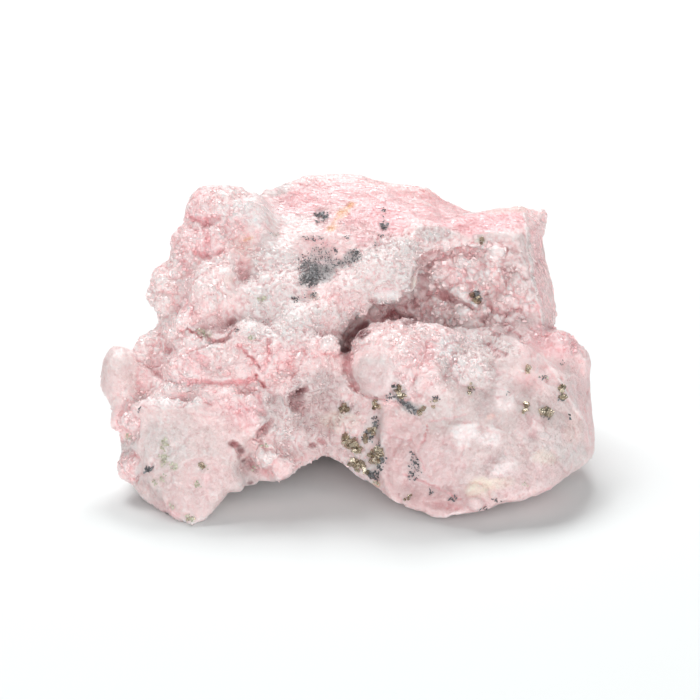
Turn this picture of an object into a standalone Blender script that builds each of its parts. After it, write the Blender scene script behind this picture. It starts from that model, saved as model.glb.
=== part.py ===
"""A rhodochrosite specimen: one broken piece of vein rock, grown together as a single solid.

The mass is laid out on its show face, which leans back by FACE_LEAN. A point on it is given in
millimetres as (across, up, depth): across runs to the right, up runs along the leaning face, and
depth runs into the rock. The broken parts are hulls of a few corners, the grown parts are
ellipsoids, and the open druse pockets are ellipsoids that are cut away. The whole is welded by a
voxel remesh, roughened, thinned out and cut flat where its feet stand on the table.
"""

from math import cos, radians, sin

import bmesh
import bpy
from mathutils import Matrix, Vector

MM = 0.001
NAME = "rhodochrosite_specimen"

FACE_LEAN = radians(22)  # how far the show face leans back from upright
FACE_SHIFT = -0.09  # how far the show face's middle stands right of the part's centre, mm
FACE_LIFT = 18.9  # height of the show face's middle above the table, mm
FACE_SET_BACK = -0.74  # how far the show face's middle stands behind the part's centre, mm

VOXEL = 0.8  # cell of the remesh that welds the forms, mm
POCKET_VOXEL = 0.8  # cell of the second remesh, which rounds the rims of the pockets, mm
COARSE_GRAIN = 4.0  # size of the coarse broken relief, mm
COARSE_RELIEF = 0.7  # its height, mm
FINE_GRAIN = 1.6  # size of the fine relief, mm
FINE_RELIEF = 0.4  # its height, mm
TRIANGLES = 9000  # about how many the finished solid keeps

# Broken parts: corners as (across, up, depth).
BLOCKS = {
    "crest": [
        (-14, 25.2, 9), (-8, 27.8, 12), (-1, 29.6, 12), (9, 26.8, 12), (17.2, 24.4, 11),
        (20.8, 22.4, 10), (-16, 18, 2), (-17, 9, -2), (-6, 9, -4), (2, 11, -4), (9, 13, -3), (13, 19.5, -1),
        (-18, 4, 16), (18, 4, 18), (-14, 14, 22), (14, 14, 22),
    ],
    "ridge_left": [
        (-12.4, 26.6, 9), (-9.6, 28.0, 10), (-5.8, 29.0, 11), (-7, 24, 6), (-11, 20, 8), (-4, 22, 16),
    ],
    "ridge_right": [
        (6, 27.4, 10), (12.6, 27.4, 10), (15.4, 25.8, 11), (8, 22, 5), (14, 21, 6), (10, 20, 16),
    ],
    "slab": [
        (11, 20, -1), (27.6, 18.4, -2), (29.3, 10, -3), (30.8, 3.5, -3), (11, 2, -2),
        (18.8, 21.6, 9), (20.5, 22.4, 8), (24, 23.0, 7), (28.4, 23.6, 6), (32.2, 22.6, 8),
        (32.2, 15, 10), (33.2, 9, 12), (34.2, 3.5, 13), (18, 10, 20), (30, 4, 22),
    ],
    "left_core": [
        (-27, 14, 6), (-18, 20, 6), (-14, 16, 2), (-30, 4, 3), (-33, -6, 2), (-31, -12, 0),
        (-19, 8, -2), (-12, 5, -4.5), (-16, -8, -7), (-8, -4, -6), (-6, 4, -4.5), (-26, -4, -3),
        (-12, 12, 14), (-26, 4, 16), (-28, -10, 14), (-8, -8, 12),
    ],
    "foot": [
        (-34.3, -8.6, -11.5), (-30.5, -7.6, -14), (-18.5, -8.6, -15), (-16.4, -14, -15.6),
        (-17, -20.5, -15), (-19.7, -23.8, -16), (-23, -27.6, -18), (-25, -28.4, -18.5),
        (-27.5, -26.5, -17), (-31.5, -21, -14.5), (-34, -16, -12),
        (-24, -26, -12), (-28, -22.4, -6), (-20, -21, -4), (-22, -17, 1), (-29, -16, 1),
        (-18, -10, 6), (-32, -8, 4),
    ],
    "foot_side": [
        (-36.6, -8, -5), (-36.4, -13, -7), (-36.3, -18.6, -8), (-36, -20.4, -9),
        (-33, -23.6, -11), (-29, -26.6, -13.5), (-26, -28, -16), (-30, -14, -13),
        (-34, -14, 1), (-30, -22, -4), (-24, -24, -10), (-33, -6, 2), (-26, -8, -2),
    ],
    "bridge_left": [
        (-18, -6, -10), (-17, -21.2, -10), (-14, -21.2, -10), (-9.5, -20, -9), (-6, -18.2, -8),
        (-3.2, -16.8, -7), (-2.6, -4, -8), (-2, -15, -6), (-18, -10, 8), (-2, -8, 10),
    ],
    "bridge_right": [
        (-4, -4, -8), (-4, -16.5, -7), (-0.8, -17.0, -7), (1.0, -18.2, -8.5), (4.5, -22.4, -12),
        (8, -24, -12), (8, -6, -11), (8, -8, 10), (-2, -8, 10),
    ],
    "right_block": [
        (6, -8, -13), (4.2, -14, -14.5), (4.2, -19.5, -15), (6.0, -24, -15), (8, -24.8, -15),
        (14.8, -26.8, -14.5), (17, -26.3, -14.5), (22.6, -25.2, -14), (32, -22.2, -12),
        (37, -18, -9), (36.3, -10, -9.5), (34.5, -4, -9),
        (30, -1.5, -8.5), (17, -6, -12), (39.8, -17, -4), (39.4, -8, -1), (38.4, -1, 3),
        (36, 1.3, 4), (33, 4.2, 5), (36, -10, 12), (30, -22, -2), (14, -24, -6), (8, -18, 2),
        (20, -8, 14),
    ],
    "heart": [
        (-28, 0, 4), (-14, 14, 8), (12, 16, 8), (30, 10, 4), (34, -4, 2), (30, -16, 2),
        (10, -18, 4), (4, -12, 4), (-4, -10, 2), (-16, -14, 0), (-28, -14, 0),
        (-20, 0, 22), (20, 0, 22), (0, 10, 22), (0, -10, 20),
    ],
    "right_back": [
        (34, 0, 6), (38, -6, 4), (37, -12, 4), (34, -16, 6), (28, -19, 6), (18, -20, 8),
        (34, -6, 16), (26, -12, 18), (20, -4, 16), (30, -2, -2), (30, -16, -4),
    ],
    "slot_wall": [
        (-8, 8, 1), (-4, 10, 2.5), (14, 12, 4), (18, 3, 4), (16, -6, 0), (-6, -8, -1),
        (-8, -4, -1), (-4, 4, 14), (14, 4, 14), (0, -8, 10), (14, -8, 10),
    ],
    "back": [
        (-30, -6, 10), (-22, 8, 18), (-6, 18, 24), (14, 17, 24), (30, 8, 20), (36, -4, 10),
        (-14, -14, 14), (4, -13, 14), (24, -14, 10), (-12, -4, 26), (12, -4, 27), (28, -8, 20),
    ],
    "back_left": [
        (-27, 0, 12), (-24, 8, 14), (-16, 12, 23), (-8, 4, 28), (-10, -11, 24), (-20, -14, 17),
        (-29, -8, 10), (-14, -12, 12),
    ],
    "back_right": [
        (10, 10, 27), (22, 12, 22), (33, 5, 16), (31, -8, 16), (22, -14, 19), (11, -6, 27.5),
        (10, -12, 14), (30, 0, 8),
    ],
    "heel": [
        (-9, -13.8, 18.6), (10, -13.8, 18.6), (2, -11.4, 25.6), (-12, -6, 16), (14, -6, 16),
        (0, 0, 24),
    ],
}

# Grown parts: (across, up, depth) of the middle, then the three radii.
LUMPS = [
    # the column of pink balls down the left edge
    ((-22.0, 21.0, 5), (4.6, 5.8, 5.6)),
    ((-18.6, 21.4, 5), (5.0, 5.2, 5.6)),
    ((-15.4, 19.6, 4), (3.6, 4.6, 5.0)),
    ((-24.6, 16.4, 3), (4.2, 4.4, 4.5)),
    ((-19.6, 14.2, 0), (3.8, 3.6, 4.0)),
    ((-28.7, 9.8, 2), (3.8, 4.4, 4.4)),
    ((-26.2, 13.4, 2), (3.0, 3.0, 3.4)),
    ((-21.8, 17.2, 1.8), (5.2, 3.8, 4.6)),
    ((-21.6, 8.8, -2.6), (5.1, 5.7, 5.6)),
    ((-18.8, 4.6, -3.4), (3.2, 2.8, 3.0)),
    ((-28.0, 3.8, 0), (3.2, 3.4, 3.2)),
    ((-31.4, 0.4, -1), (2.8, 2.6, 3.0)),
    ((-29.4, -3.6, -2.5), (4.2, 3.8, 4.0)),
    ((-33.0, -3.6, -3), (3.0, 3.8, 3.6)),
    ((-36.6, -4.2, -4), (3.0, 5.4, 4.0)),
    ((-35.6, -7.4, -5), (2.6, 2.4, 3.2)),
    # the heavy folds across the lower left
    ((-23.4, -2.2, -7.6), (5.4, 4.6, 5.0)),
    ((-20.6, -4.6, -8.6), (5.0, 3.2, 4.6)),
    ((-26.6, -6.4, -6.0), (4.6, 2.8, 4.4)),
    ((-25.4, 3.2, -4.6), (3.4, 3.4, 3.4)),
    ((-20.4, 1.4, -7.2), (3.4, 3.0, 3.6)),
    ((-15.8, 1.4, -8.6), (4.0, 3.6, 4.2)),
    ((-12.4, -1.6, -9.8), (3.6, 3.4, 4.0)),
    ((-16.4, -2.8, -9.6), (4.4, 3.0, 4.4)),
    ((-19.2, -9.0, -11.4), (5.0, 3.8, 4.4)),
    ((-13.2, -10.2, -11.6), (5.6, 4.8, 4.8)),
    ((-9.0, -6.2, -10), (4.4, 3.2, 4.0)),
    ((-9.4, 0.6, -9.0), (4.2, 3.6, 4.0)),
    ((-5.4, -1.2, -10.6), (3.2, 4.0, 4.2)),
    ((-6.0, -4.6, -10.6), (3.4, 2.8, 3.6)),
    ((-7.6, 3.8, -7), (4.2, 4.0, 4.4)),
    ((-14.8, 7.4, -3.2), (4.0, 3.8, 4.0)),
    ((-12.6, -16.6, -12), (2.8, 2.0, 2.8)),
    ((-10.4, -18.0, -11.6), (2.6, 2.0, 2.6)),
    # small balls on the rim of the foot
    ((-35.0, -11.4, -8), (2.2, 2.2, 2.6)),
    ((-34.6, -18.6, -9), (2.2, 2.2, 2.6)),
    # the pale sugary band from the crest to the middle
    ((-12.0, 12.6, 1.4), (6.0, 5.4, 4.2)),
    ((-9.3, 8.0, -2.8), (5.6, 4.6, 4.4)),
    ((-3.0, 5.4, -5), (4.0, 3.8, 4.4)),
    ((0.4, 9.0, -4), (4.4, 3.4, 4.0)),
    ((5.4, 12.2, -3), (4.4, 3.6, 4.4)),
    ((9.0, 14.4, -2), (3.0, 4.2, 3.8)),
    ((8.2, 11.2, -3.2), (3.2, 2.8, 3.6)),
    # the ball and its neighbours under the large pocket
    ((7.4, -3.6, -8), (6.8, 7.0, 7.0)),
    ((9.6, -0.4, -7.6), (4.8, 5.2, 5.2)),
    ((4.0, 1.0, -7.6), (3.4, 3.0, 4.0)),
    ((14.0, 0.9, -8), (3.9, 3.6, 4.4)),
    ((12.8, -5.6, -10.5), (4.6, 4.4, 4.6)),
    # the grey quartz left of it
    ((-1.6, -4.0, -8.0), (2.8, 3.8, 3.6)),
    # the pale quartz right of it
    ((20.0, -3.4, -7.5), (4.8, 4.4, 4.6)),
    ((26.0, -2.0, -6.4), (4.8, 4.0, 5.0)),
    ((33.4, 0.0, -2.0), (3.2, 3.4, 5.0)),
    ((36.2, -1.8, 0.0), (2.7, 3.0, 4.0)),
]

# Open druse pockets, cut away: middle, then the three radii.
POCKETS = [
    ((19.6, 9.8, -2.4), (8.4, 7.0, 8.0)),
    ((14.6, 8.6, -1.0), (3.9, 6.4, 8.4)),
    ((8.8, 5.6, -1.5), (4.6, 3.4, 7.0)),
    ((2.6, 2.6, -3.4), (4.0, 1.9, 5.0)),
]

# Crystal clumps that stand on the pocket walls: middle, then the three radii.
DRUSE = [
    ((14.6, 13.0, 3.4), (2.2, 1.8, 2.6)),
    ((18.8, 14.0, 2.8), (2.6, 2.0, 2.6)),
    ((23.0, 12.8, 1.8), (2.8, 2.4, 2.8)),
    ((26.2, 9.0, 0.8), (2.2, 3.0, 2.8)),
    ((13.8, 9.0, 6.4), (2.4, 2.0, 3.0)),
    ((17.8, 9.8, 5.0), (2.6, 2.4, 3.2)),
    ((22.0, 8.2, 3.8), (2.6, 2.2, 3.2)),
    ((15.4, 5.4, 4.2), (2.6, 2.2, 3.2)),
    ((19.4, 4.8, 2.4), (2.8, 2.2, 3.4)),
    ((24.0, 4.6, 1.0), (3.0, 2.4, 3.2)),
    ((27.6, 5.0, -0.6), (2.4, 2.4, 2.8)),
    ((18.4, 1.8, -4.0), (3.4, 1.8, 3.4)),
    ((23.4, 1.8, -4.0), (3.6, 2.0, 3.6)),
    ((28.4, 2.2, -2.6), (3.2, 2.0, 3.6)),
    ((13.0, 16.8, -0.6), (2.2, 1.6, 2.0)),
    ((16.4, 16.6, -0.8), (1.8, 1.3, 1.8)),
    ((20.0, 17.2, -0.6), (2.0, 1.5, 1.8)),
    ((23.8, 15.4, -1.2), (2.0, 1.9, 1.8)),
    ((27.2, 12.6, -2.0), (1.8, 2.2, 1.8)),
    ((9.6, 8.4, 6.0), (2.6, 2.2, 2.6)),
    ((5.0, 6.0, 5.4), (2.4, 1.8, 2.6)),
]


def on_face(point):
    """World place, in metres, of a point given in millimetres on the leaning show face."""
    across, up, depth = point
    return MM * Vector((
        across + FACE_SHIFT,
        up * sin(FACE_LEAN) + depth * cos(FACE_LEAN) + FACE_SET_BACK,
        up * cos(FACE_LEAN) - depth * sin(FACE_LEAN) + FACE_LIFT,
    ))


def add_block(mesh, corners):
    """One broken block: the convex hull of its corners."""
    points = [mesh.verts.new(on_face(corner)) for corner in corners]
    hull = bmesh.ops.convex_hull(mesh, input=points)
    loose = set(hull["geom_interior"]) | set(hull["geom_unused"])
    bmesh.ops.delete(mesh, geom=list(loose), context="VERTS")


def add_ellipsoid(mesh, middle, radii):
    """One grown lump or one pocket, its radii along the show face's own directions."""
    stretch = Matrix.Diagonal((*(MM * Vector((radii[0], radii[2], radii[1]))), 1))
    lean = Matrix.Rotation(-FACE_LEAN, 4, "X")
    bmesh.ops.create_icosphere(
        mesh, subdivisions=3, radius=1,
        matrix=Matrix.Translation(on_face(middle)) @ lean @ stretch,
    )


def add_object(name, mesh, collection):
    """A new object that holds the bmesh."""
    data = bpy.data.meshes.new(name)
    mesh.to_mesh(data)
    mesh.free()
    made = bpy.data.objects.new(name, data)
    collection.objects.link(made)
    return made


def add_ellipsoids(name, lumps, collection):
    """A helper welded from ellipsoids, such as the cutter of the pockets."""
    mesh = bmesh.new()
    for middle, radii in lumps:
        add_ellipsoid(mesh, middle, radii)
    helper = add_object(name, mesh, collection)
    add_remesh(helper, VOXEL)
    return as_cutter(helper)


def add_table_cutter(collection):
    """The slab under the table's plane, which cuts the feet flat."""
    size = 200 * MM
    mesh = bmesh.new()
    bmesh.ops.create_cube(mesh, size=size, matrix=Matrix.Translation((0, 0, -size / 2)))
    return as_cutter(add_object("table_cutter", mesh, collection))


def as_cutter(helper):
    """Marks a helper, so that it is neither drawn solid nor kept."""
    helper.hide_render = True
    helper.display_type = "WIRE"
    return helper


def add_remesh(target, cell):
    """Welds overlapping closed shapes into one skin of even cells."""
    remesh = target.modifiers.new("weld", "REMESH")
    remesh.mode = "VOXEL"
    remesh.voxel_size = cell * MM


def add_boolean(target, operation, helper):
    """Joins the helper to the target, or takes it away."""
    boolean = target.modifiers.new(helper.name, "BOOLEAN")
    boolean.operation = operation
    boolean.solver = "MANIFOLD"
    boolean.object = helper


def add_relief(target, grain, height):
    """Broken relief: clouds of the given grain push the skin out and in by half their height."""
    clouds = bpy.data.textures.new(f"relief_{grain}", "CLOUDS")
    clouds.noise_scale = grain * MM
    clouds.noise_depth = 1
    relief = target.modifiers.new("relief", "DISPLACE")
    relief.texture = clouds
    relief.texture_coords = "LOCAL"
    relief.strength = height * MM
    relief.mid_level = 0.5


def add_smoothing(target, factor, times):
    """Takes the steps of the voxels off."""
    smooth = target.modifiers.new("smooth", "SMOOTH")
    smooth.factor = factor
    smooth.iterations = times


def add_thinning(target, ratio):
    """Drops triangles where the skin is flat."""
    thin = target.modifiers.new("thin", "DECIMATE")
    thin.ratio = ratio


def shell_from(seed):
    """The vertices joined to the seed, itself among them."""
    found, edge = {seed}, [seed]
    while edge:
        near = {link.other_vert(point) for point in edge for link in point.link_edges}
        edge = list(near - found)
        found |= near
    return found


def keep_largest_shell(target):
    """Fixes the modifiers so far into the mesh and drops its crumbs and sealed cavities."""
    graph = bpy.context.evaluated_depsgraph_get()
    data = bpy.data.meshes.new_from_object(target.evaluated_get(graph), depsgraph=graph)
    target.modifiers.clear()
    mesh = bmesh.new()
    mesh.from_mesh(data)
    left, largest = set(mesh.verts), set()
    while left:
        shell = shell_from(next(iter(left)))
        left -= shell
        largest = max(largest, shell, key=len)
    crumbs = [point for point in mesh.verts if point not in largest]
    bmesh.ops.delete(mesh, geom=crumbs, context="VERTS")
    mesh.to_mesh(data)
    mesh.free()
    target.data = data


def rock_material():
    """Pale pink, waxy and rough."""
    material = bpy.data.materials.new("rhodochrosite")
    material.use_nodes = True
    shader = material.node_tree.nodes["Principled BSDF"]
    shader.inputs["Base Color"].default_value = (0.78, 0.52, 0.52, 1)
    shader.inputs["Roughness"].default_value = 0.55
    shader.inputs["Metallic"].default_value = 0.0
    return material


def face_count(target):
    """How many triangles the object has with its modifiers as they are."""
    mesh = target.evaluated_get(bpy.context.evaluated_depsgraph_get()).to_mesh()
    mesh.calc_loop_triangles()
    return len(mesh.loop_triangles)


def build():
    """Clears the scene and makes the specimen."""
    for old in list(bpy.data.objects):
        bpy.data.objects.remove(old)
    parts = bpy.data.collections.new(NAME)
    cutters = bpy.data.collections.new("cutters")
    for collection in (parts, cutters):
        bpy.context.scene.collection.children.link(collection)

    mesh = bmesh.new()
    for corners in BLOCKS.values():
        add_block(mesh, corners)
    for middle, radii in LUMPS:
        add_ellipsoid(mesh, middle, radii)
    rock = add_object(NAME, mesh, parts)
    rock.data.materials.append(rock_material())

    add_remesh(rock, VOXEL)
    add_boolean(rock, "DIFFERENCE", add_ellipsoids("pocket_cutter", POCKETS, cutters))
    add_boolean(rock, "UNION", add_ellipsoids("druse_clumps", DRUSE, cutters))
    add_remesh(rock, POCKET_VOXEL)
    keep_largest_shell(rock)
    add_smoothing(rock, 0.5, 2)
    add_relief(rock, COARSE_GRAIN, COARSE_RELIEF)
    add_relief(rock, FINE_GRAIN, FINE_RELIEF)
    add_thinning(rock, TRIANGLES / face_count(rock))
    add_boolean(rock, "DIFFERENCE", add_table_cutter(cutters))
    return rock


build()
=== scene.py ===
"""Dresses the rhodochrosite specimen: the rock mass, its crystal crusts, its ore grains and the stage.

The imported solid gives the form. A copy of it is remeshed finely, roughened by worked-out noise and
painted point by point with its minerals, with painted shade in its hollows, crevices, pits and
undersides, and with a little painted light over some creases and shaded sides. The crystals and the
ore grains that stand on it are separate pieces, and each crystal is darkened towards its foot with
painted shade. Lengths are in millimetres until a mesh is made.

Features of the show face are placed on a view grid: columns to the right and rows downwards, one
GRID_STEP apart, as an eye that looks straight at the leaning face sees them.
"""

from __future__ import annotations

import logging
from collections.abc import Iterable
from dataclasses import dataclass
from enum import Enum
from math import cos, pi, radians, sin
from typing import TypeVar

import bpy
import numpy as np
from mathutils import Matrix, Vector

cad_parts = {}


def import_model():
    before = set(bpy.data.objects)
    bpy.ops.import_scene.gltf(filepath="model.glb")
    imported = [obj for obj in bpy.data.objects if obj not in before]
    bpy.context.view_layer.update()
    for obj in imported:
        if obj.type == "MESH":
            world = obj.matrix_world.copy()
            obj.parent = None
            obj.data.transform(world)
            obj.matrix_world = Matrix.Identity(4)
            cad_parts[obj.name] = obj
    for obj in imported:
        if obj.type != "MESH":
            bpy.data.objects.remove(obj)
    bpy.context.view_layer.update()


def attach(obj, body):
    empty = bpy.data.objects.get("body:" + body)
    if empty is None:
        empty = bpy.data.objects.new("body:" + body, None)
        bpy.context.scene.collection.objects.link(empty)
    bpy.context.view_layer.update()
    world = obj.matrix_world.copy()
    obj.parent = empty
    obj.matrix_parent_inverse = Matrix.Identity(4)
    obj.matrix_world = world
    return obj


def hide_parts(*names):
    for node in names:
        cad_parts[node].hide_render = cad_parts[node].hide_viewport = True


LOG = logging.getLogger("specimen")

NODE = "rhodochrosite_specimen"
BODY = "root"
TINT = "tint"  # name of the colour attribute
MM = 0.001  # metres in a millimetre

FACE_LEAN = radians(22)  # how far the show face leans back from upright
FACE_MIDDLE = np.array([0.23, -0.74, 18.9])  # where the eye looks, mm
EYE_DISTANCE = 933.3  # mm from the eye to the middle of the show face
GRID_STEP = 0.16  # mm between the columns, and the rows, of the view grid
GRID_SIDE = 700  # columns, and rows, of the view grid
LENS, SENSOR = 300.0, 36.0  # camera's focal length and sensor, mm
LAMP_TARGET = (0, 0, 0.015)  # what the lamps look at, metres
FLOOR_GAP = 0.02  # mm that the rock stands above the floor
NEVER = 1e6  # larger than any distance in mm
SIDE_POCKET = np.array([33.0, 9.5, 15.5])  # middle of the small pocket on the right side, mm

TO_RIGHT = np.array([1.0, 0.0, 0.0])
UP_FACE = np.array([0.0, sin(FACE_LEAN), cos(FACE_LEAN)])
TO_EYE = np.array([0.0, -cos(FACE_LEAN), sin(FACE_LEAN)])

Rgb = tuple[float, float, float]
Xyz = tuple[float, float, float]
Socket = bpy.types.NodeSocket
Inputs = dict[str | int, object]  # what a node's inputs are given, by their names or numbers
Outputs = bpy.types.bpy_prop_collection
Mark = TypeVar("Mark")


# ---------------------------------------------------------------- colours, habits and marks


class Tint(Enum):
    """Colours of the minerals, and darker pinks and maroons laid on as painted shade, as linear red, green
    and blue.
    """

    BLUSH = (0.915, 0.665, 0.665)
    ROSE = (0.880, 0.510, 0.535)
    SHELL = (0.930, 0.760, 0.750)
    FROST = (0.950, 0.865, 0.860)
    SALMON = (0.880, 0.640, 0.590)
    # mauve and dusk are tones of the rock, and are also used as painted shade under knolls and on undersides
    MAUVE = (0.760, 0.545, 0.545)
    DUSK = (0.770, 0.595, 0.595)
    CHALK = (0.685, 0.580, 0.568)
    MILK = (0.840, 0.765, 0.755)
    ICE = (0.720, 0.665, 0.655)
    CREAM = (0.860, 0.765, 0.650)
    SMOKE = (0.620, 0.510, 0.505)
    ASH = (0.430, 0.405, 0.405)
    GRAPHITE = (0.160, 0.165, 0.170)
    RUST = (0.780, 0.420, 0.160)
    # the next two are painted shade only, for pits, crevices and undersides
    WINE = (0.380, 0.160, 0.165)
    GARNET = (0.180, 0.055, 0.060)
    # cherry makes pink spots, and is also used as painted shade in narrow crevices
    CHERRY = (0.700, 0.280, 0.290)
    OLIVE = (0.430, 0.420, 0.310)

    def over(self, colours: np.ndarray, share: np.ndarray) -> np.ndarray:
        """The colours with a share of this one laid over each: c (1 - s) + t s."""
        return colours * (1 - share[:, None]) + share[:, None] * np.array(self.value)


class Habit(Enum):
    """How a stretch of the surface has grown or broken."""

    CRUST = 0
    SUGAR = 1
    DRUSE = 2
    FIBRE = 3
    MASSIVE = 4


(
    BLUSH, ROSE, SHELL, FROST, SALMON, MAUVE, DUSK, CHALK, MILK, ICE, CREAM, SMOKE, ASH, GRAPHITE, RUST,
    WINE, GARNET, CHERRY, OLIVE,
) = Tint
CRUST, SUGAR, DRUSE, FIBRE, MASSIVE = Habit


class Form(Enum):
    """Shapes of the single crystals."""

    RHOMB = "rhomb"
    POINT = "point"
    SPLINTER = "splinter"
    CUBE = "cube"
    CHIP = "chip"


class Look(Enum):
    """What a layer of relief follows: how packed grains bulge or slant, or soft noise."""

    RISE = "rise"
    SLANT = "slant"
    NOISE = "noise"
    STRAND = "strand"  # noise drawn out along the fibres
    BRAID = "braid"  # the same, less drawn out


@dataclass(frozen=True)
class Oval:
    """An oval of the view grid, in grid steps; a positive turn is clockwise as seen, in degrees."""

    column: float
    row: float
    wide: float
    tall: float
    turn: float


@dataclass(frozen=True)
class Zone(Oval):
    """An oval that has one habit."""

    habit: Habit


@dataclass(frozen=True)
class Dab(Oval):
    """An oval that has one colour."""

    tint: Tint
    strength: float


@dataclass(frozen=True)
class Swell(Oval):
    """An oval that stands out, or sinks in where the height is negative."""

    height: float  # mm


@dataclass(frozen=True)
class Nudge(Oval):
    """An oval of the form that is moved in the plane facing the eye, to true up its outline."""

    right: float  # mm
    up: float  # mm


@dataclass(frozen=True)
class Grains(Oval):
    """An oval that holds a clutch of ore grains."""

    count: int
    smallest: float  # mm
    largest: float  # mm


@dataclass(frozen=True)
class Crack:
    """A crevice, or a ridge where the depth is negative, along a path on the view grid."""

    path: tuple[tuple[float, float], ...]
    width: float  # grid steps
    depth: float  # mm
    # mostly painted shade in the crevice; a stain, a thin line or a paler ridge for a few
    tint: Tint
    strength: float


@dataclass(frozen=True)
class Relief:
    """One layer of a habit's relief: its height times what it follows, less its middle."""

    habit: Habit
    look: Look
    grain: float  # mm
    seed: int
    height: float  # mm
    middle: float = 0.0


def rows_of(kind: type[Mark], rows: Iterable[tuple]) -> tuple[Mark, ...]:
    """One mark of a kind for each row of its fields."""
    return tuple(kind(*row) for row in rows)


# Habits, in the order they are laid down over each other.
ZONES = rows_of(Zone, (
    (215, 208, 40, 36, 0, CRUST), (200, 245, 42, 30, 0, CRUST), (180, 295, 48, 42, 0, CRUST),
    (150, 350, 40, 40, 0, CRUST), (215, 375, 75, 48, 0, CRUST), (300, 360, 34, 34, 0, CRUST),
    (245, 405, 40, 30, 0, CRUST), (116, 374, 20, 36, 0, MASSIVE), (275, 275, 40, 60, 0, SUGAR),
    (255, 320, 28, 36, 0, SUGAR), (320, 318, 60, 24, -12, SUGAR), (375, 275, 48, 34, -25, SUGAR),
    (330, 220, 85, 44, 8, FIBRE), (440, 200, 100, 28, 6, FIBRE), (543, 265, 14, 64, -8, FIBRE),
    (395, 246, 44, 16, -14, SUGAR), (432, 236, 22, 14, 0, SUGAR), (472, 290, 62, 52, 0, DRUSE),
    (385, 325, 52, 22, -22, DRUSE), (480, 366, 46, 32, 0, SUGAR), (402, 362, 54, 46, 0, CRUST),
    (376, 372, 22, 22, 0, MASSIVE), (555, 342, 36, 18, 10, CRUST), (325, 405, 46, 36, 0, SUGAR),
    (312, 445, 60, 28, 0, SUGAR), (268, 455, 24, 22, 0, CRUST), (188, 462, 58, 62, 0, MASSIVE),
    (126, 424, 14, 22, 0, CRUST), (128, 468, 14, 20, 0, CRUST), (172, 398, 50, 10, 0, CRUST),
    (490, 445, 118, 64, 0, MASSIVE), (545, 395, 55, 50, 0, MASSIVE),
))
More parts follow.
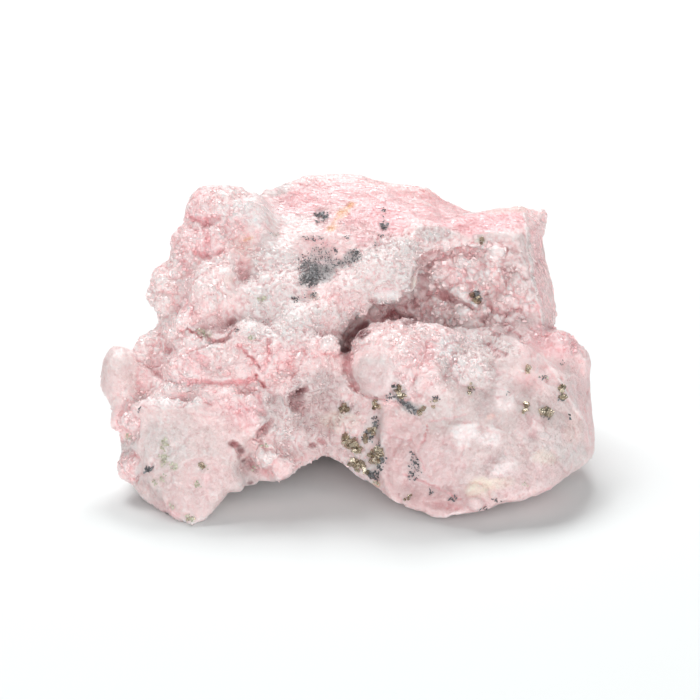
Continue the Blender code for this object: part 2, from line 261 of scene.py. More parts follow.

# Colours, in the order they are laid down over each other. Many darker ones are painted shade under knolls,
# in recesses, in pits and on undersides, and a few paler ones are painted light over creases and shaded
# sides.
DABS = rows_of(Dab, (
    # the column of balls
    (215, 208, 40, 34, 0, BLUSH, 0.5), (238, 198, 24, 18, 0, SHELL, 0.7), (200, 196, 14, 12, 0, ROSE, 0.25),
    # painted shade: rose under the top ball, and on the second ball's left and under it, on this line and the
    # next
    (192, 214, 12, 8, 0, ROSE, 0.25), (210, 219, 14, 5, 0, ROSE, 0.15), (195, 241, 30, 24, 0, BLUSH, 0.7),
    (188, 244, 16, 18, 0, ROSE, 0.15), (208, 251, 14, 9, 0, ROSE, 0.35), (230, 235, 18, 18, 0, BLUSH, 0.6),
    (172, 292, 28, 32, 0, SHELL, 0.7), (184, 268, 8, 12, 0, ROSE, 0.2), (178, 292, 18, 22, 0, SHELL, 0.8),
    (213, 290, 34, 36, 0, SHELL, 0.95), (228, 290, 12, 18, 10, SHELL, 0.9),
    (228, 280, 7, 5, 0, SALMON, 0.35), (194, 308, 18, 14, 0, BLUSH, 0.6),
    # painted shade: mauve under the large pale ball, and dusk and mauve in the recess beside it, on this line
    # and the next
    (218, 322, 20, 12, -10, MAUVE, 0.65), (247, 268, 13, 18, 10, DUSK, 0.45),
    (250, 282, 8, 9, 0, MAUVE, 0.35), (262, 213, 34, 14, 15, FROST, 0.8), (288, 196, 12, 8, 0, FROST, 0.6),
    (228, 212, 14, 10, 0, FROST, 0.45), (243, 243, 15, 9, -20, SALMON, 0.4),
    (250, 256, 12, 10, 0, SALMON, 0.3),
    # the folds and the smooth bulb
    (116, 374, 24, 38, 0, CHALK, 0.7), (112, 385, 12, 14, 0, DUSK, 0.45), (122, 358, 12, 12, 0, MILK, 0.5),
    # painted shade: dusk in the shadow between the bulb and the folds
    (120, 402, 24, 12, 0, SHELL, 0.8), (156, 362, 12, 16, 0, DUSK, 0.4), (154, 342, 22, 14, 0, SHELL, 0.9),
    (215, 365, 60, 34, 0, BLUSH, 0.5), (222, 352, 20, 12, 0, SHELL, 0.6), (235, 345, 26, 8, 0, SHELL, 0.4),
    (194, 360, 14, 16, 0, ROSE, 0.2), (205, 345, 9, 6, 0, ICE, 0.5), (212, 368, 14, 10, 0, ICE, 0.35),
    (222, 398, 46, 10, 0, BLUSH, 0.6), (232, 412, 36, 14, 10, ROSE, 0.45), (238, 412, 16, 7, 0, ROSE, 0.4),
    (176, 382, 26, 13, 0, FROST, 0.6), (300, 362, 30, 28, 0, BLUSH, 0.75),
    (283, 350, 10, 16, 0, ROSE, 0.25), (283, 384, 18, 14, 0, BLUSH, 0.7),
    # the foot
    (190, 460, 66, 66, 0, CHALK, 0.75), (166, 442, 26, 26, 0, ICE, 0.55), (185, 462, 22, 12, 20, ICE, 0.3),
    # painted light: shell and frost lighten the shaded crease at the foot's top rim
    (168, 396, 44, 9, 0, SHELL, 0.95), (174, 401, 36, 8, 0, FROST, 0.7), (216, 426, 24, 9, 25, SHELL, 0.7),
    (230, 438, 13, 24, 0, MAUVE, 0.45), (200, 472, 24, 20, 0, BLUSH, 0.35),
    # painted shade: dusk darkens the foot low down, here and at (214, 482)
    (190, 500, 28, 24, 0, DUSK, 0.5), (148, 490, 18, 14, 30, CHALK, 0.6), (125, 422, 15, 18, 0, BLUSH, 0.8),
    (128, 468, 14, 18, 0, BLUSH, 0.8), (128, 446, 9, 10, 0, ICE, 0.7), (134, 457, 5, 3, 0, CHERRY, 0.35),
    (140, 474, 5, 10, 0, ICE, 0.6), (164, 509, 16, 8, 22, MAUVE, 0.8), (172, 514, 10, 4, 22, ROSE, 0.5),
    (246, 474, 18, 15, 10, SMOKE, 0.9), (214, 482, 22, 16, 0, DUSK, 0.5), (243, 482, 8, 8, 0, ICE, 0.5),
    (207, 478, 5, 5, 0, ROSE, 0.3),
    # the pale sugary band
    (290, 210, 26, 7, 20, MILK, 0.7), (276, 285, 36, 62, 0, MILK, 0.85), (300, 322, 66, 24, 0, MILK, 0.8),
    (252, 312, 20, 30, 0, MILK, 0.7), (292, 222, 44, 9, 22, SHELL, 0.9), (300, 283, 18, 14, 0, DUSK, 0.3),
    (270, 245, 12, 16, 0, ICE, 0.4), (258, 300, 14, 14, 0, ICE, 0.4), (316, 336, 36, 14, -20, DUSK, 0.35),
    (335, 322, 14, 12, -20, DUSK, 0.5),
    # the crest
    (330, 190, 70, 22, -6, BLUSH, 0.8), (280, 213, 28, 12, 20, FROST, 0.7),
    (303, 203, 26, 13, -10, ROSE, 0.45), (400, 205, 70, 22, 6, BLUSH, 0.9),
    (372, 228, 32, 20, 20, ROSE, 0.8), (372, 231, 26, 16, 20, MAUVE, 0.7), (366, 243, 11, 6, 20, ROSE, 0.9),
    (455, 203, 60, 14, 12, BLUSH, 0.7), (420, 190, 60, 8, 8, SALMON, 0.35),
    (480, 222, 54, 13, -4, ROSE, 0.95), (466, 225, 16, 6, -20, CHERRY, 0.25),
    (388, 218, 20, 16, 30, ROSE, 0.8), (508, 209, 26, 5, -4, SALMON, 0.5),
    (370, 202, 110, 24, 2, ROSE, 0.45), (345, 218, 32, 14, 10, MAUVE, 0.7),
    (277, 190, 19, 7, -16, ICE, 0.9), (350, 222, 24, 11, 10, CHERRY, 0.22),
    (348, 218, 20, 10, 0, ROSE, 0.35), (342, 213, 10, 5, -40, SALMON, 0.5),
    (332, 227, 9, 5, -30, SALMON, 0.6), (343, 213, 7, 4, -30, RUST, 0.7), (351, 205, 5, 3, -20, RUST, 0.5),
    (332, 228, 6, 3, -20, RUST, 0.45),
    # the ledge, the rim of the large pocket and the slab's side
    (385, 272, 52, 36, -20, MILK, 0.8), (402, 282, 24, 18, 0, ICE, 0.5), (436, 233, 22, 9, 0, ICE, 0.85),
    # painted light: shell at the end of this line makes the slab's side, which faces away from the lamps,
    # paler
    (395, 250, 34, 9, -10, ICE, 0.45), (500, 238, 34, 6, 0, ICE, 0.6), (542, 262, 12, 62, -8, SHELL, 0.8),
    (545, 270, 9, 62, -8, BLUSH, 0.9), (541, 272, 7, 56, -8, ROSE, 0.4), (548, 286, 9, 46, -8, BLUSH, 0.9),
    (522, 244, 8, 12, 0, SMOKE, 0.5),
    # the pockets
    (470, 290, 60, 48, 0, MILK, 0.35), (440, 262, 26, 18, 0, MAUVE, 0.2), (500, 266, 14, 14, 0, SHELL, 0.4),
    (512, 264, 13, 20, 0, SMOKE, 0.5), (528, 274, 7, 42, -6, ICE, 0.5), (468, 300, 38, 18, 0, SHELL, 0.9),
    (466, 276, 18, 12, 0, FROST, 0.6), (436, 313, 22, 9, 0, BLUSH, 0.7), (472, 318, 34, 11, 0, SHELL, 0.8),
    (462, 292, 10, 9, 0, SHELL, 0.7), (500, 302, 20, 10, -10, BLUSH, 0.4),
    (468, 299, 22, 9, 0, FROST, 0.55), (428, 318, 16, 9, 0, FROST, 0.6),
    (516, 326, 28, 13, -16, SMOKE, 0.5), (455, 322, 26, 10, 0, ICE, 0.3),
    # painted shade: mauve in the slot
    (386, 323, 50, 18, -22, MAUVE, 0.9),
    # the ball under the pocket, the quartz and the bump right of it
    (400, 366, 54, 48, 0, BLUSH, 0.6), (396, 340, 42, 16, 0, SHELL, 0.6), (424, 352, 22, 16, 0, ROSE, 0.22),
    # painted shade: dusk under the ball and at its low left, on this line and the next
    (452, 358, 20, 16, 0, FROST, 0.55), (408, 386, 34, 12, 0, DUSK, 0.4), (374, 374, 24, 24, 0, ICE, 0.8),
    (376, 380, 22, 18, 0, DUSK, 0.65), (382, 391, 24, 8, 10, DUSK, 0.6), (480, 366, 46, 34, 0, CHALK, 0.85),
    (500, 382, 20, 14, 0, FROST, 0.5), (468, 372, 20, 15, 0, FROST, 0.6), (490, 342, 30, 10, 0, ICE, 0.5),
    # painted light: frost lightens the shaded valley beside the ball
    (447, 349, 9, 17, -15, FROST, 0.85), (466, 338, 18, 8, 0, FROST, 0.7), (428, 334, 14, 8, 0, SHELL, 0.5),
    (556, 340, 34, 18, 10, ROSE, 0.6), (540, 366, 26, 12, 0, SHELL, 0.5),
    # the middle quartz and the knob
    (325, 402, 44, 36, 0, SMOKE, 0.9), (318, 440, 58, 26, 0, SMOKE, 0.6),
    (340, 422, 22, 12, 0, CREAM, 0.35), (300, 466, 50, 10, -10, BLUSH, 0.5),
    (290, 440, 15, 13, 0, FROST, 0.6), (265, 455, 14, 13, 0, SHELL, 1.0),
    # the right block
    # painted shade: dusk, mauve and dusk again darken the lower part and the left of the block, on this line
    # and the next
    (490, 445, 120, 66, 0, CHALK, 0.95), (470, 470, 100, 40, 0, DUSK, 0.25),
    (406, 452, 32, 46, 0, MAUVE, 0.6), (398, 446, 18, 34, 0, MAUVE, 0.4), (440, 462, 28, 32, 0, DUSK, 0.7),
    (420, 410, 22, 7, 10, ICE, 0.6), (456, 410, 16, 6, 0, MILK, 0.5), (505, 402, 12, 14, 0, FROST, 0.5),
    (487, 408, 13, 13, 0, SMOKE, 0.7), (466, 431, 17, 9, 0, FROST, 0.9), (463, 443, 8, 8, 0, FROST, 0.6),
    (491, 438, 13, 10, 0, FROST, 0.75), (497, 457, 9, 8, -20, SMOKE, 0.8), (488, 468, 13, 4, 0, SMOKE, 0.5),
    (508, 469, 18, 9, -10, FROST, 0.75), (544, 458, 13, 9, 0, CREAM, 0.4),
    (528, 470, 18, 10, -14, SMOKE, 0.6), (480, 491, 15, 13, 0, CREAM, 0.85),
    (500, 484, 18, 7, -10, CREAM, 0.8), (572, 440, 12, 34, -8, SHELL, 0.4),
    # painted shade: dusk low on the block's right, at (546, 472)
    (526, 482, 12, 6, 0, SMOKE, 0.7), (546, 472, 14, 9, 0, DUSK, 0.5), (529, 434, 7, 11, 0, SMOKE, 0.9),
    (538, 421, 11, 8, 0, MAUVE, 0.45), (534, 448, 6, 6, 40, SMOKE, 0.4), (528, 426, 16, 14, 0, DUSK, 0.7),
    (550, 440, 15, 13, 0, FROST, 0.35), (572, 455, 18, 14, 0, ICE, 0.6), (574, 426, 10, 18, 0, SALMON, 0.3),
    (588, 400, 11, 62, -8, BLUSH, 0.8), (562, 375, 10, 12, 0, SHELL, 0.4),
    # painted shade: mauve, deep shade and dusk on the block's lower front and under faces, on this line and
    # the next three
    (425, 490, 44, 18, 6, MAUVE, 0.7), (424, 494, 36, 12, 6, WINE, 0.22), (400, 466, 18, 28, 0, WINE, 0.12),
    (420, 488, 40, 18, 6, SMOKE, 0.25), (535, 480, 44, 16, -14, DUSK, 0.6),
    (462, 505, 70, 10, 0, MAUVE, 0.85), (448, 498, 52, 10, 0, WINE, 0.22), (500, 496, 40, 8, -8, DUSK, 0.6),
    (430, 474, 30, 12, 0, DUSK, 0.45), (530, 498, 40, 7, -14, MAUVE, 0.5),
    (552, 492, 52, 6, -26, ROSE, 0.5), (491, 417, 5, 3, -30, SALMON, 0.7),
    # painted shade in the pits, hollows and the slot, with a few paler rims and small stains
    (233, 446, 7, 4, -20, MAUVE, 0.8), (234, 444, 5.5, 3.4, 20, WINE, 0.9),
    (240, 449, 3.4, 5, -30, GARNET, 0.8), (239, 457, 2.2, 3.6, 35, WINE, 0.9),
    (243, 461, 3.4, 1.7, -25, GARNET, 0.8), (252, 466, 2.6, 5.2, -35, WINE, 0.9),
    (250, 483, 3, 1.8, 0, GARNET, 0.9), (273, 412, 16, 20, 0, SMOKE, 0.9),
    (264, 430, 12, 5, -40, MAUVE, 0.9), (263, 432, 11, 5, -40, WINE, 0.7), (272, 420, 3, 4, 20, WINE, 0.45),
    (313, 446, 5, 3, -15, WINE, 0.5), (321, 442, 6, 3, 20, MAUVE, 0.6), (327, 409, 6, 2, 0, WINE, 0.35),
    (297, 402, 9, 12, 0, WINE, 0.45), (299, 394, 7, 5, -20, GARNET, 0.6), (301, 409, 6, 5, 0, WINE, 0.3),
    (336, 342, 16, 9, -20, SHELL, 0.7), (344, 344, 7, 7, -20, MAUVE, 0.4),
    (352, 297, 18, 8, -10, MAUVE, 0.4), (350, 338, 8, 5, -40, WINE, 0.4),
    (362, 331, 7, 8, 20, GARNET, 0.85), (391, 316, 8, 5, 0, GARNET, 0.6), (389, 296, 16, 9, -6, FROST, 0.7),
    (408, 321, 9, 6, 0, GARNET, 0.7), (374, 300, 5, 4, 0, WINE, 0.5), (413, 301, 4, 3, 0, GARNET, 0.7),
    (420, 264, 6, 8, 0, WINE, 0.3), (424, 291, 9, 6, 0, WINE, 0.5), (452, 300, 6, 4, 0, WINE, 0.45),
    (486, 317, 5, 3, 0, WINE, 0.5), (226, 331, 8, 3, -20, WINE, 0.4), (237, 316, 5, 7, 0, DUSK, 0.9),
    (243, 301, 5, 5, 0, MAUVE, 0.7), (258, 250, 3, 3, 0, CHERRY, 0.5), (248, 239, 6, 1.6, -20, RUST, 0.5),
    (275, 330, 4, 2, 0, WINE, 0.6),
    # ore stains
    (314, 273, 14, 13, 20, ASH, 0.95), (309, 279, 9, 6, -15, GRAPHITE, 0.6),
    (317, 268, 6, 9, 30, GRAPHITE, 0.5), (322, 255, 13, 10, 0, ASH, 0.4), (328, 270, 8, 15, 15, ASH, 0.75),
    (326, 274, 5, 9, 20, GRAPHITE, 0.4), (352, 257, 8, 8, -30, ASH, 0.7), (341, 264, 9, 5, 0, ASH, 0.6),
    (314, 238, 11, 3, 0, ASH, 0.45), (276, 235, 5, 2, 0, OLIVE, 0.35), (314, 296, 6, 4, 0, OLIVE, 0.35),
    (322, 215, 11, 5, 8, ASH, 0.5), (384, 226, 5, 5, 0, ASH, 0.4), (375, 440, 12, 44, 0, ICE, 0.6),
    (350, 436, 14, 20, 0, SHELL, 0.6), (350, 392, 13, 12, 0, SHELL, 0.7), (366, 450, 12, 18, 0, SHELL, 0.5),
    (398, 394, 8, 9, 25, ASH, 0.6), (410, 407, 14, 5, 30, ASH, 0.6), (413, 466, 7, 16, -10, ASH, 0.25),
    (546, 413, 6, 6, 0, ASH, 0.4), (376, 484, 5, 4, 0, RUST, 0.5), (205, 334, 9, 5, 25, OLIVE, 0.45),
    (163, 444, 3, 5, 0, OLIVE, 0.35), (163, 460, 4, 8, 0, OLIVE, 0.4), (174, 466, 3, 5, -30, OLIVE, 0.35),
    (162, 479, 3, 4, 0, OLIVE, 0.35), (154, 482, 2, 4, 0, OLIVE, 0.35), (199, 486, 3, 2, 30, OLIVE, 0.35),
    (191, 519, 5, 2, 20, OLIVE, 0.5), (171, 506, 1.5, 5, -25, OLIVE, 0.5), (262, 299, 4, 4, 0, OLIVE, 0.35),
    (480, 240, 6, 4, 0, OLIVE, 0.4), (127, 436, 3, 2, -30, RUST, 0.4),
))

# Knolls and hollows of the show face.
SWELLS = rows_of(Swell, (
    (198, 205, 12, 13, 0, 0.5), (225, 197, 14, 12, 0, 0.5), (184, 238, 12, 14, 0, 0.5),
    (212, 240, 10, 12, 0, -0.5), (168, 280, 12, 11, 0, 0.6), (163, 304, 11, 10, 0, 0.5),
    (206, 300, 16, 16, 0, 0.6), (222, 276, 12, 12, 0, 0.4), (245, 268, 12, 16, 0, -1.0),
    (264, 277, 8, 7, 10, 0.8), (222, 325, 16, 8, -15, -0.5), (155, 362, 12, 14, 0, -1.0),
    (140, 350, 9, 8, 0, 0.6), (222, 353, 17, 13, 0, 0.7), (256, 352, 11, 10, 0, 0.5),
    (185, 366, 14, 12, 0, 0.5), (281, 350, 12, 12, 0, 0.7), (308, 368, 15, 15, 0, 0.8),
    (280, 382, 12, 12, 0, 0.6), (205, 404, 22, 12, 8, 0.6), (248, 408, 18, 16, 0, 0.8),
    (388, 297, 15, 8, -6, 1.3), (450, 360, 18, 16, 0, 1.0), (372, 338, 14, 11, -20, 0.4),
    (396, 330, 12, 9, 0, 0.4), (424, 334, 12, 9, 0, 0.5), (436, 354, 12, 11, 0, 0.5),
    (430, 386, 14, 13, 0, 0.7), (406, 386, 12, 9, 0, 0.4), (474, 372, 20, 16, 0, 0.8),
    (500, 385, 14, 12, 0, 0.4), (560, 340, 12, 9, 10, 0.6), (582, 352, 8, 9, 0, 0.6),
    (298, 400, 10, 14, 0, -2.6), (320, 425, 20, 12, 0, -0.6), (463, 436, 20, 12, 0, 0.4),
    (475, 496, 14, 12, 0, 0.6), (490, 460, 14, 8, 0, -0.4), (536, 434, 10, 10, 0, -0.5),
    (130, 420, 9, 12, 0, 0.5), (132, 468, 10, 12, 0, 0.5), (265, 455, 12, 12, 0, 1.4),
    (420, 284, 9, 22, 8, -1.5), (432, 256, 18, 8, -20, -1.3), (462, 252, 20, 6, 0, -0.8),
    (444, 296, 15, 6, 15, -1.3), (486, 316, 8, 5, 0, -1.2), (438, 273, 11, 8, 0, 1.4),
    (466, 262, 14, 8, 0, 0.8), (461, 292, 9, 9, 0, 1.5), (486, 278, 12, 9, 0, 1.0),
    (500, 300, 16, 8, 0, 1.2), (460, 312, 14, 6, 0, 1.0), (512, 268, 10, 16, 0, -0.9),
    (498, 254, 14, 7, 0, 0.8), (399, 360, 50, 40, -10, 2.2), (475, 503, 9, 6, 0, 0.8),
    (446, 506, 24, 6, 8, -0.7), (400, 458, 14, 30, 0, 0.4), (234, 444, 8, 5, 20, -1.4),
    (240, 450, 5, 7, -30, -1.2), (265, 429, 14, 5, -45, -1.8), (313, 445, 6, 4, -15, -0.9),
    (322, 442, 7, 4, 20, -0.8), (334, 344, 16, 9, -10, 2.4), (195, 340, 12, 8, 0, 0.4),
    (170, 338, 12, 10, 0, 0.8), (170, 366, 12, 12, 0, 0.6), (242, 372, 12, 9, 0, 0.6),
    (196, 372, 10, 8, 0, 0.5), (230, 396, 14, 10, 0, 0.5), (166, 392, 30, 8, -6, 0.5),
    (206, 394, 34, 9, 6, 0.7), (184, 391, 20, 10, 0, 1.0), (262, 392, 9, 9, 0, 0.5),
))

# Places where the outline is trued up.
NUDGES = rows_of(Nudge, (
    (242, 482, 17, 13, 0, 0.9, -1.1), (285, 477, 28, 13, 0, 0.0, -0.8), (318, 464, 17, 10, 0, 0.0, -0.5),
    (115, 420, 10, 22, 0, -0.9, 0.0), (117, 470, 9, 14, 0, -0.5, 0.0), (547, 250, 14, 24, 0, -1.0, 0.0),
    (543, 213, 8, 8, 0, 0.5, 0.3), (264, 200, 15, 12, 0, -0.3, 1.0), (437, 514, 13, 7, 0, 0.0, -0.5),
    (506, 507, 18, 7, 0, 0.0, 0.5),
))

# Crevices, coloured mostly with painted shade, one rust-stained seam, thin pink lines on the block, and the
# two sharp edges of the slab and the block, paler along their ridges.
CRACKS = rows_of(Crack, (
    (((414, 304), (414, 286), (419, 270), (432, 259), (450, 254), (474, 252)), 4.5, 1.2, WINE, 0.26),
    (((424, 298), (436, 291), (446, 298), (456, 304), (470, 308)), 3.0, 0.9, WINE, 0.32),
    (((487, 296), (492, 310), (508, 314), (520, 308)), 2.6, 0.9, WINE, 0.25),
    (((505, 250), (502, 264), (506, 284)), 2.6, 0.9, DUSK, 0.6),
    (((186, 327), (194, 334), (201, 339)), 1.6, 1.0, CHERRY, 0.8),
    (((204, 336), (216, 341), (226, 338), (234, 330), (233, 321)), 3.0, 0.9, WINE, 0.45),
    (((247, 354), (254, 360), (259, 367)), 1.2, 0.8, CHERRY, 0.8),
    (((256, 376), (260, 382), (265, 387)), 1.9, 1.0, CHERRY, 0.8),
    (((190, 381), (206, 381), (226, 383), (256, 380)), 2.4, 0.5, ROSE, 0.5),
    (((186, 216), (202, 221), (218, 218)), 4.0, 0.6, ROSE, 0.4),
    (((204, 222), (207, 236), (205, 252)), 4.0, 0.5, ROSE, 0.35),
    (((196, 252), (206, 256), (222, 250)), 3.6, 0.6, ROSE, 0.45),
    (((182, 262), (190, 276), (186, 290), (182, 312)), 4.2, 0.5, ROSE, 0.25),
    (((168, 345), (168, 362), (158, 374)), 4.0, 0.8, DUSK, 0.6),
    (((238, 345), (246, 352)), 2.2, 0.7, ROSE, 0.3),
    (((268, 340), (270, 356), (262, 368)), 3.8, 0.6, ROSE, 0.3),
    (((196, 352), (206, 360), (200, 372)), 3.6, 0.4, ROSE, 0.3),
    (((246, 386), (258, 396), (262, 412)), 3.8, 0.5, ROSE, 0.3),
    (((256, 440), (266, 448), (276, 452)), 2.2, 0.8, WINE, 0.3),
    (((290, 396), (298, 393), (305, 389)), 3.0, 0.8, WINE, 0.8),
    (((345, 342), (356, 332), (366, 324)), 3.6, 0.8, WINE, 0.6),
    (((384, 318), (394, 312), (404, 322)), 3.4, 0.8, WINE, 0.9),
    (((352, 384), (358, 389)), 2.4, 0.6, CHERRY, 0.5),
    (((346, 350), (348, 370), (356, 388), (374, 398)), 4.0, 1.0, SMOKE, 0.25),
    (((352, 203), (342, 211), (335, 221), (331, 228)), 2.2, 0.1, RUST, 0.45),
    (((382, 430), (396, 437), (412, 440)), 1.6, 0.2, DUSK, 0.6),
    (((424, 440), (418, 452), (425, 470)), 1.2, 0.1, ROSE, 0.3),
    (((427, 424), (426, 434), (424, 444)), 0.8, 0.25, CHERRY, 0.5),
    (((430, 421), (448, 419), (466, 415)), 1.4, 0.1, ROSE, 0.3),
    (((404, 474), (424, 482), (446, 492), (462, 500)), 1.1, 0.25, ROSE, 0.4),
    (((480, 318), (484, 322), (492, 320)), 2.2, 0.8, WINE, 0.5),
    (((494, 334), (510, 330), (520, 336)), 2.6, 0.8, DUSK, 0.8),
    (((488, 344), (496, 352), (506, 354)), 3.0, 0.8, DUSK, 0.8),
    (((541, 356), (556, 372), (571, 400), (586, 424), (591, 444)), 1.6, -0.3, SHELL, 0.8),
    (((525, 214), (530, 250), (536, 290), (545, 326)), 2.2, -0.5, ICE, 0.6),
))

# Clutches of the three ores.
PYRITE = rows_of(Grains, (
    (528, 369, 2, 2, 0, 3, 0.5, 0.8), (561, 389, 2.5, 3, 0, 4, 0.5, 0.8),
    (562, 396, 3, 2.5, 0, 5, 0.5, 0.8), (526, 407, 2, 4, 0, 5, 0.5, 0.8),
    (546, 412, 3, 2.5, 0, 5, 0.7, 1.1), (344, 409, 3, 2.5, 0, 4, 0.6, 1.0),
    (351, 443, 9, 5, 35, 34, 0.4, 0.9), (359, 465, 8, 5, 35, 28, 0.4, 0.9),
    (377, 455, 6, 6, 20, 22, 0.4, 0.9), (376, 404, 3, 4, 0, 7, 0.4, 0.7), (400, 393, 5, 3, 60, 8, 0.4, 0.7),
    (421, 412, 3, 3, 0, 5, 0.4, 0.8), (372, 430, 3, 4, 0, 6, 0.4, 0.7), (366, 438, 2, 2, 0, 2, 0.5, 0.8),
    (203, 467, 2.5, 2, 0, 3, 0.4, 0.7), (434, 402, 3, 5, 30, 6, 0.3, 0.6),
    (471, 390, 2.5, 5, 10, 6, 0.3, 0.6), (407, 495, 2, 4, 0, 4, 0.3, 0.6),
    (476, 298, 3, 4, 20, 5, 0.4, 0.8), (480, 240, 3, 2, 0, 4, 0.3, 0.6), (346, 440, 4, 3, 0, 6, 0.3, 0.6),
    (191, 518, 4, 2, 30, 4, 0.3, 0.6),
))

SULPHIDE = rows_of(Grains, (
    (313, 270, 13, 14, 15, 330, 0.1, 0.26), (309, 279, 8, 6, 0, 150, 0.12, 0.34),
    (317, 262, 13, 12, 0, 210, 0.08, 0.22), (316, 274, 6, 5, 0, 60, 0.14, 0.36),
    (303, 264, 4, 8, 10, 60, 0.1, 0.3), (325, 252, 10, 8, 0, 110, 0.08, 0.22),
    (355, 255, 4, 6, -30, 50, 0.14, 0.42), (350, 258, 8, 5, -40, 46, 0.1, 0.3),
    (341, 263, 8, 4, 0, 60, 0.12, 0.34), (334, 269, 2, 3, 0, 10, 0.15, 0.4),
    (335, 251, 2, 2, 0, 8, 0.15, 0.35), (323, 215, 7, 2.6, 4, 44, 0.25, 0.6),
    (318, 221, 4, 2, 20, 14, 0.2, 0.4), (341, 222, 1.6, 1.4, 0, 4, 0.2, 0.35),
    (313, 238, 9, 2.2, 5, 40, 0.15, 0.35), (277, 234, 5, 1.2, 0, 10, 0.12, 0.25),
    (346, 237, 3, 2, -40, 9, 0.15, 0.35), (384, 210, 2.6, 1.4, 0, 9, 0.2, 0.4),
    (384, 218, 1.4, 1.4, 0, 4, 0.2, 0.4), (384, 226, 3, 3, 0, 20, 0.3, 0.6),
    (381, 236, 1.6, 2.6, 20, 8, 0.2, 0.4), (376, 243, 2, 1.6, 0, 5, 0.15, 0.3),
    (294, 299, 2.4, 3, 0, 12, 0.25, 0.45), (304, 298, 1.2, 1.2, 0, 3, 0.15, 0.3),
    (314, 296, 5, 3, 20, 24, 0.15, 0.35), (329, 195, 1.8, 0.9, 0, 4, 0.12, 0.25),
    (147, 470, 2.6, 2.2, 20, 12, 0.5, 0.85), (140, 409, 1.4, 3, 20, 5, 0.2, 0.4),
    (236, 329, 2.6, 1.2, 0, 8, 0.2, 0.45), (368, 436, 5, 6, 20, 40, 0.3, 0.6),
    (375, 422, 3, 6, 0, 26, 0.25, 0.5), (381, 463, 4, 7, 10, 34, 0.25, 0.5),
    (373, 476, 5, 4, 20, 34, 0.35, 0.7), (378, 442, 2, 4, 10, 12, 0.2, 0.4),
    (398, 395, 3, 8, -25, 34, 0.3, 0.6), (410, 408, 8, 2.6, 35, 34, 0.3, 0.6),
    (388, 398, 4, 3, -30, 14, 0.25, 0.5), (436, 399, 2, 5, 30, 12, 0.2, 0.4),
    (412, 455, 1.6, 5, -10, 12, 0.2, 0.4), (415, 463, 2, 5, 30, 14, 0.2, 0.4),
    (411, 470, 1.6, 6, 0, 14, 0.2, 0.45), (418, 468, 1.4, 6, -15, 14, 0.2, 0.4),
    (413, 477, 3, 3, 30, 14, 0.25, 0.45), (430, 492, 2, 1.8, 20, 8, 0.25, 0.45),
    (452, 500, 3.4, 1.8, 15, 12, 0.25, 0.45), (496, 500, 4, 1.4, 10, 10, 0.2, 0.4),
    (485, 509, 3.4, 1.4, -15, 10, 0.25, 0.45), (544, 377, 3.6, 1.6, -10, 12, 0.25, 0.45),
    (562, 364, 1.6, 2, 0, 5, 0.2, 0.4), (570, 418, 1.8, 2, 0, 8, 0.3, 0.5),
    (547, 416, 5, 3, 0, 16, 0.2, 0.4), (561, 400, 3, 2, 0, 8, 0.25, 0.4),
    (571, 440, 1.2, 2.4, 0, 4, 0.15, 0.3), (510, 393, 1.4, 1.4, 0, 3, 0.2, 0.3),
    (477, 296, 5, 6, 20, 16, 0.4, 0.8), (470, 391, 3, 6, 10, 12, 0.15, 0.35),
))

OLIVES = rows_of(Grains, (
    (164, 444, 3, 5, 0, 26, 0.25, 0.5), (163, 458, 4, 7, -10, 34, 0.25, 0.5),
    (174, 466, 3, 4, -30, 16, 0.25, 0.5), (163, 478, 2.4, 3.6, 0, 12, 0.25, 0.45),
    (155, 482, 1.8, 4, 0, 8, 0.25, 0.45), (199, 485, 3.4, 2.4, 30, 14, 0.25, 0.5),
    (171, 506, 1.4, 5, -25, 10, 0.2, 0.4), (190, 518, 4.6, 2.4, 20, 18, 0.25, 0.5),
    (203, 467, 5, 2.6, 0, 12, 0.2, 0.4), (203, 333, 7, 3, 25, 30, 0.25, 0.5),
    (262, 299, 3, 3, 0, 12, 0.25, 0.5), (251, 338, 3.2, 2.6, 0, 12, 0.25, 0.5),
    (264, 445, 3.6, 1.8, 20, 12, 0.25, 0.5), (127, 437, 3.4, 1.8, -30, 10, 0.25, 0.45),
    (545, 377, 4, 2, -10, 8, 0.2, 0.4), (376, 484, 2.6, 2.2, 0, 10, 0.25, 0.45),
    (254, 468, 3, 3, 40, 10, 0.2, 0.45), (346, 441, 4, 4, 0, 8, 0.2, 0.4),
    (524, 485, 1.8, 1.2, 0, 5, 0.2, 0.35),
))

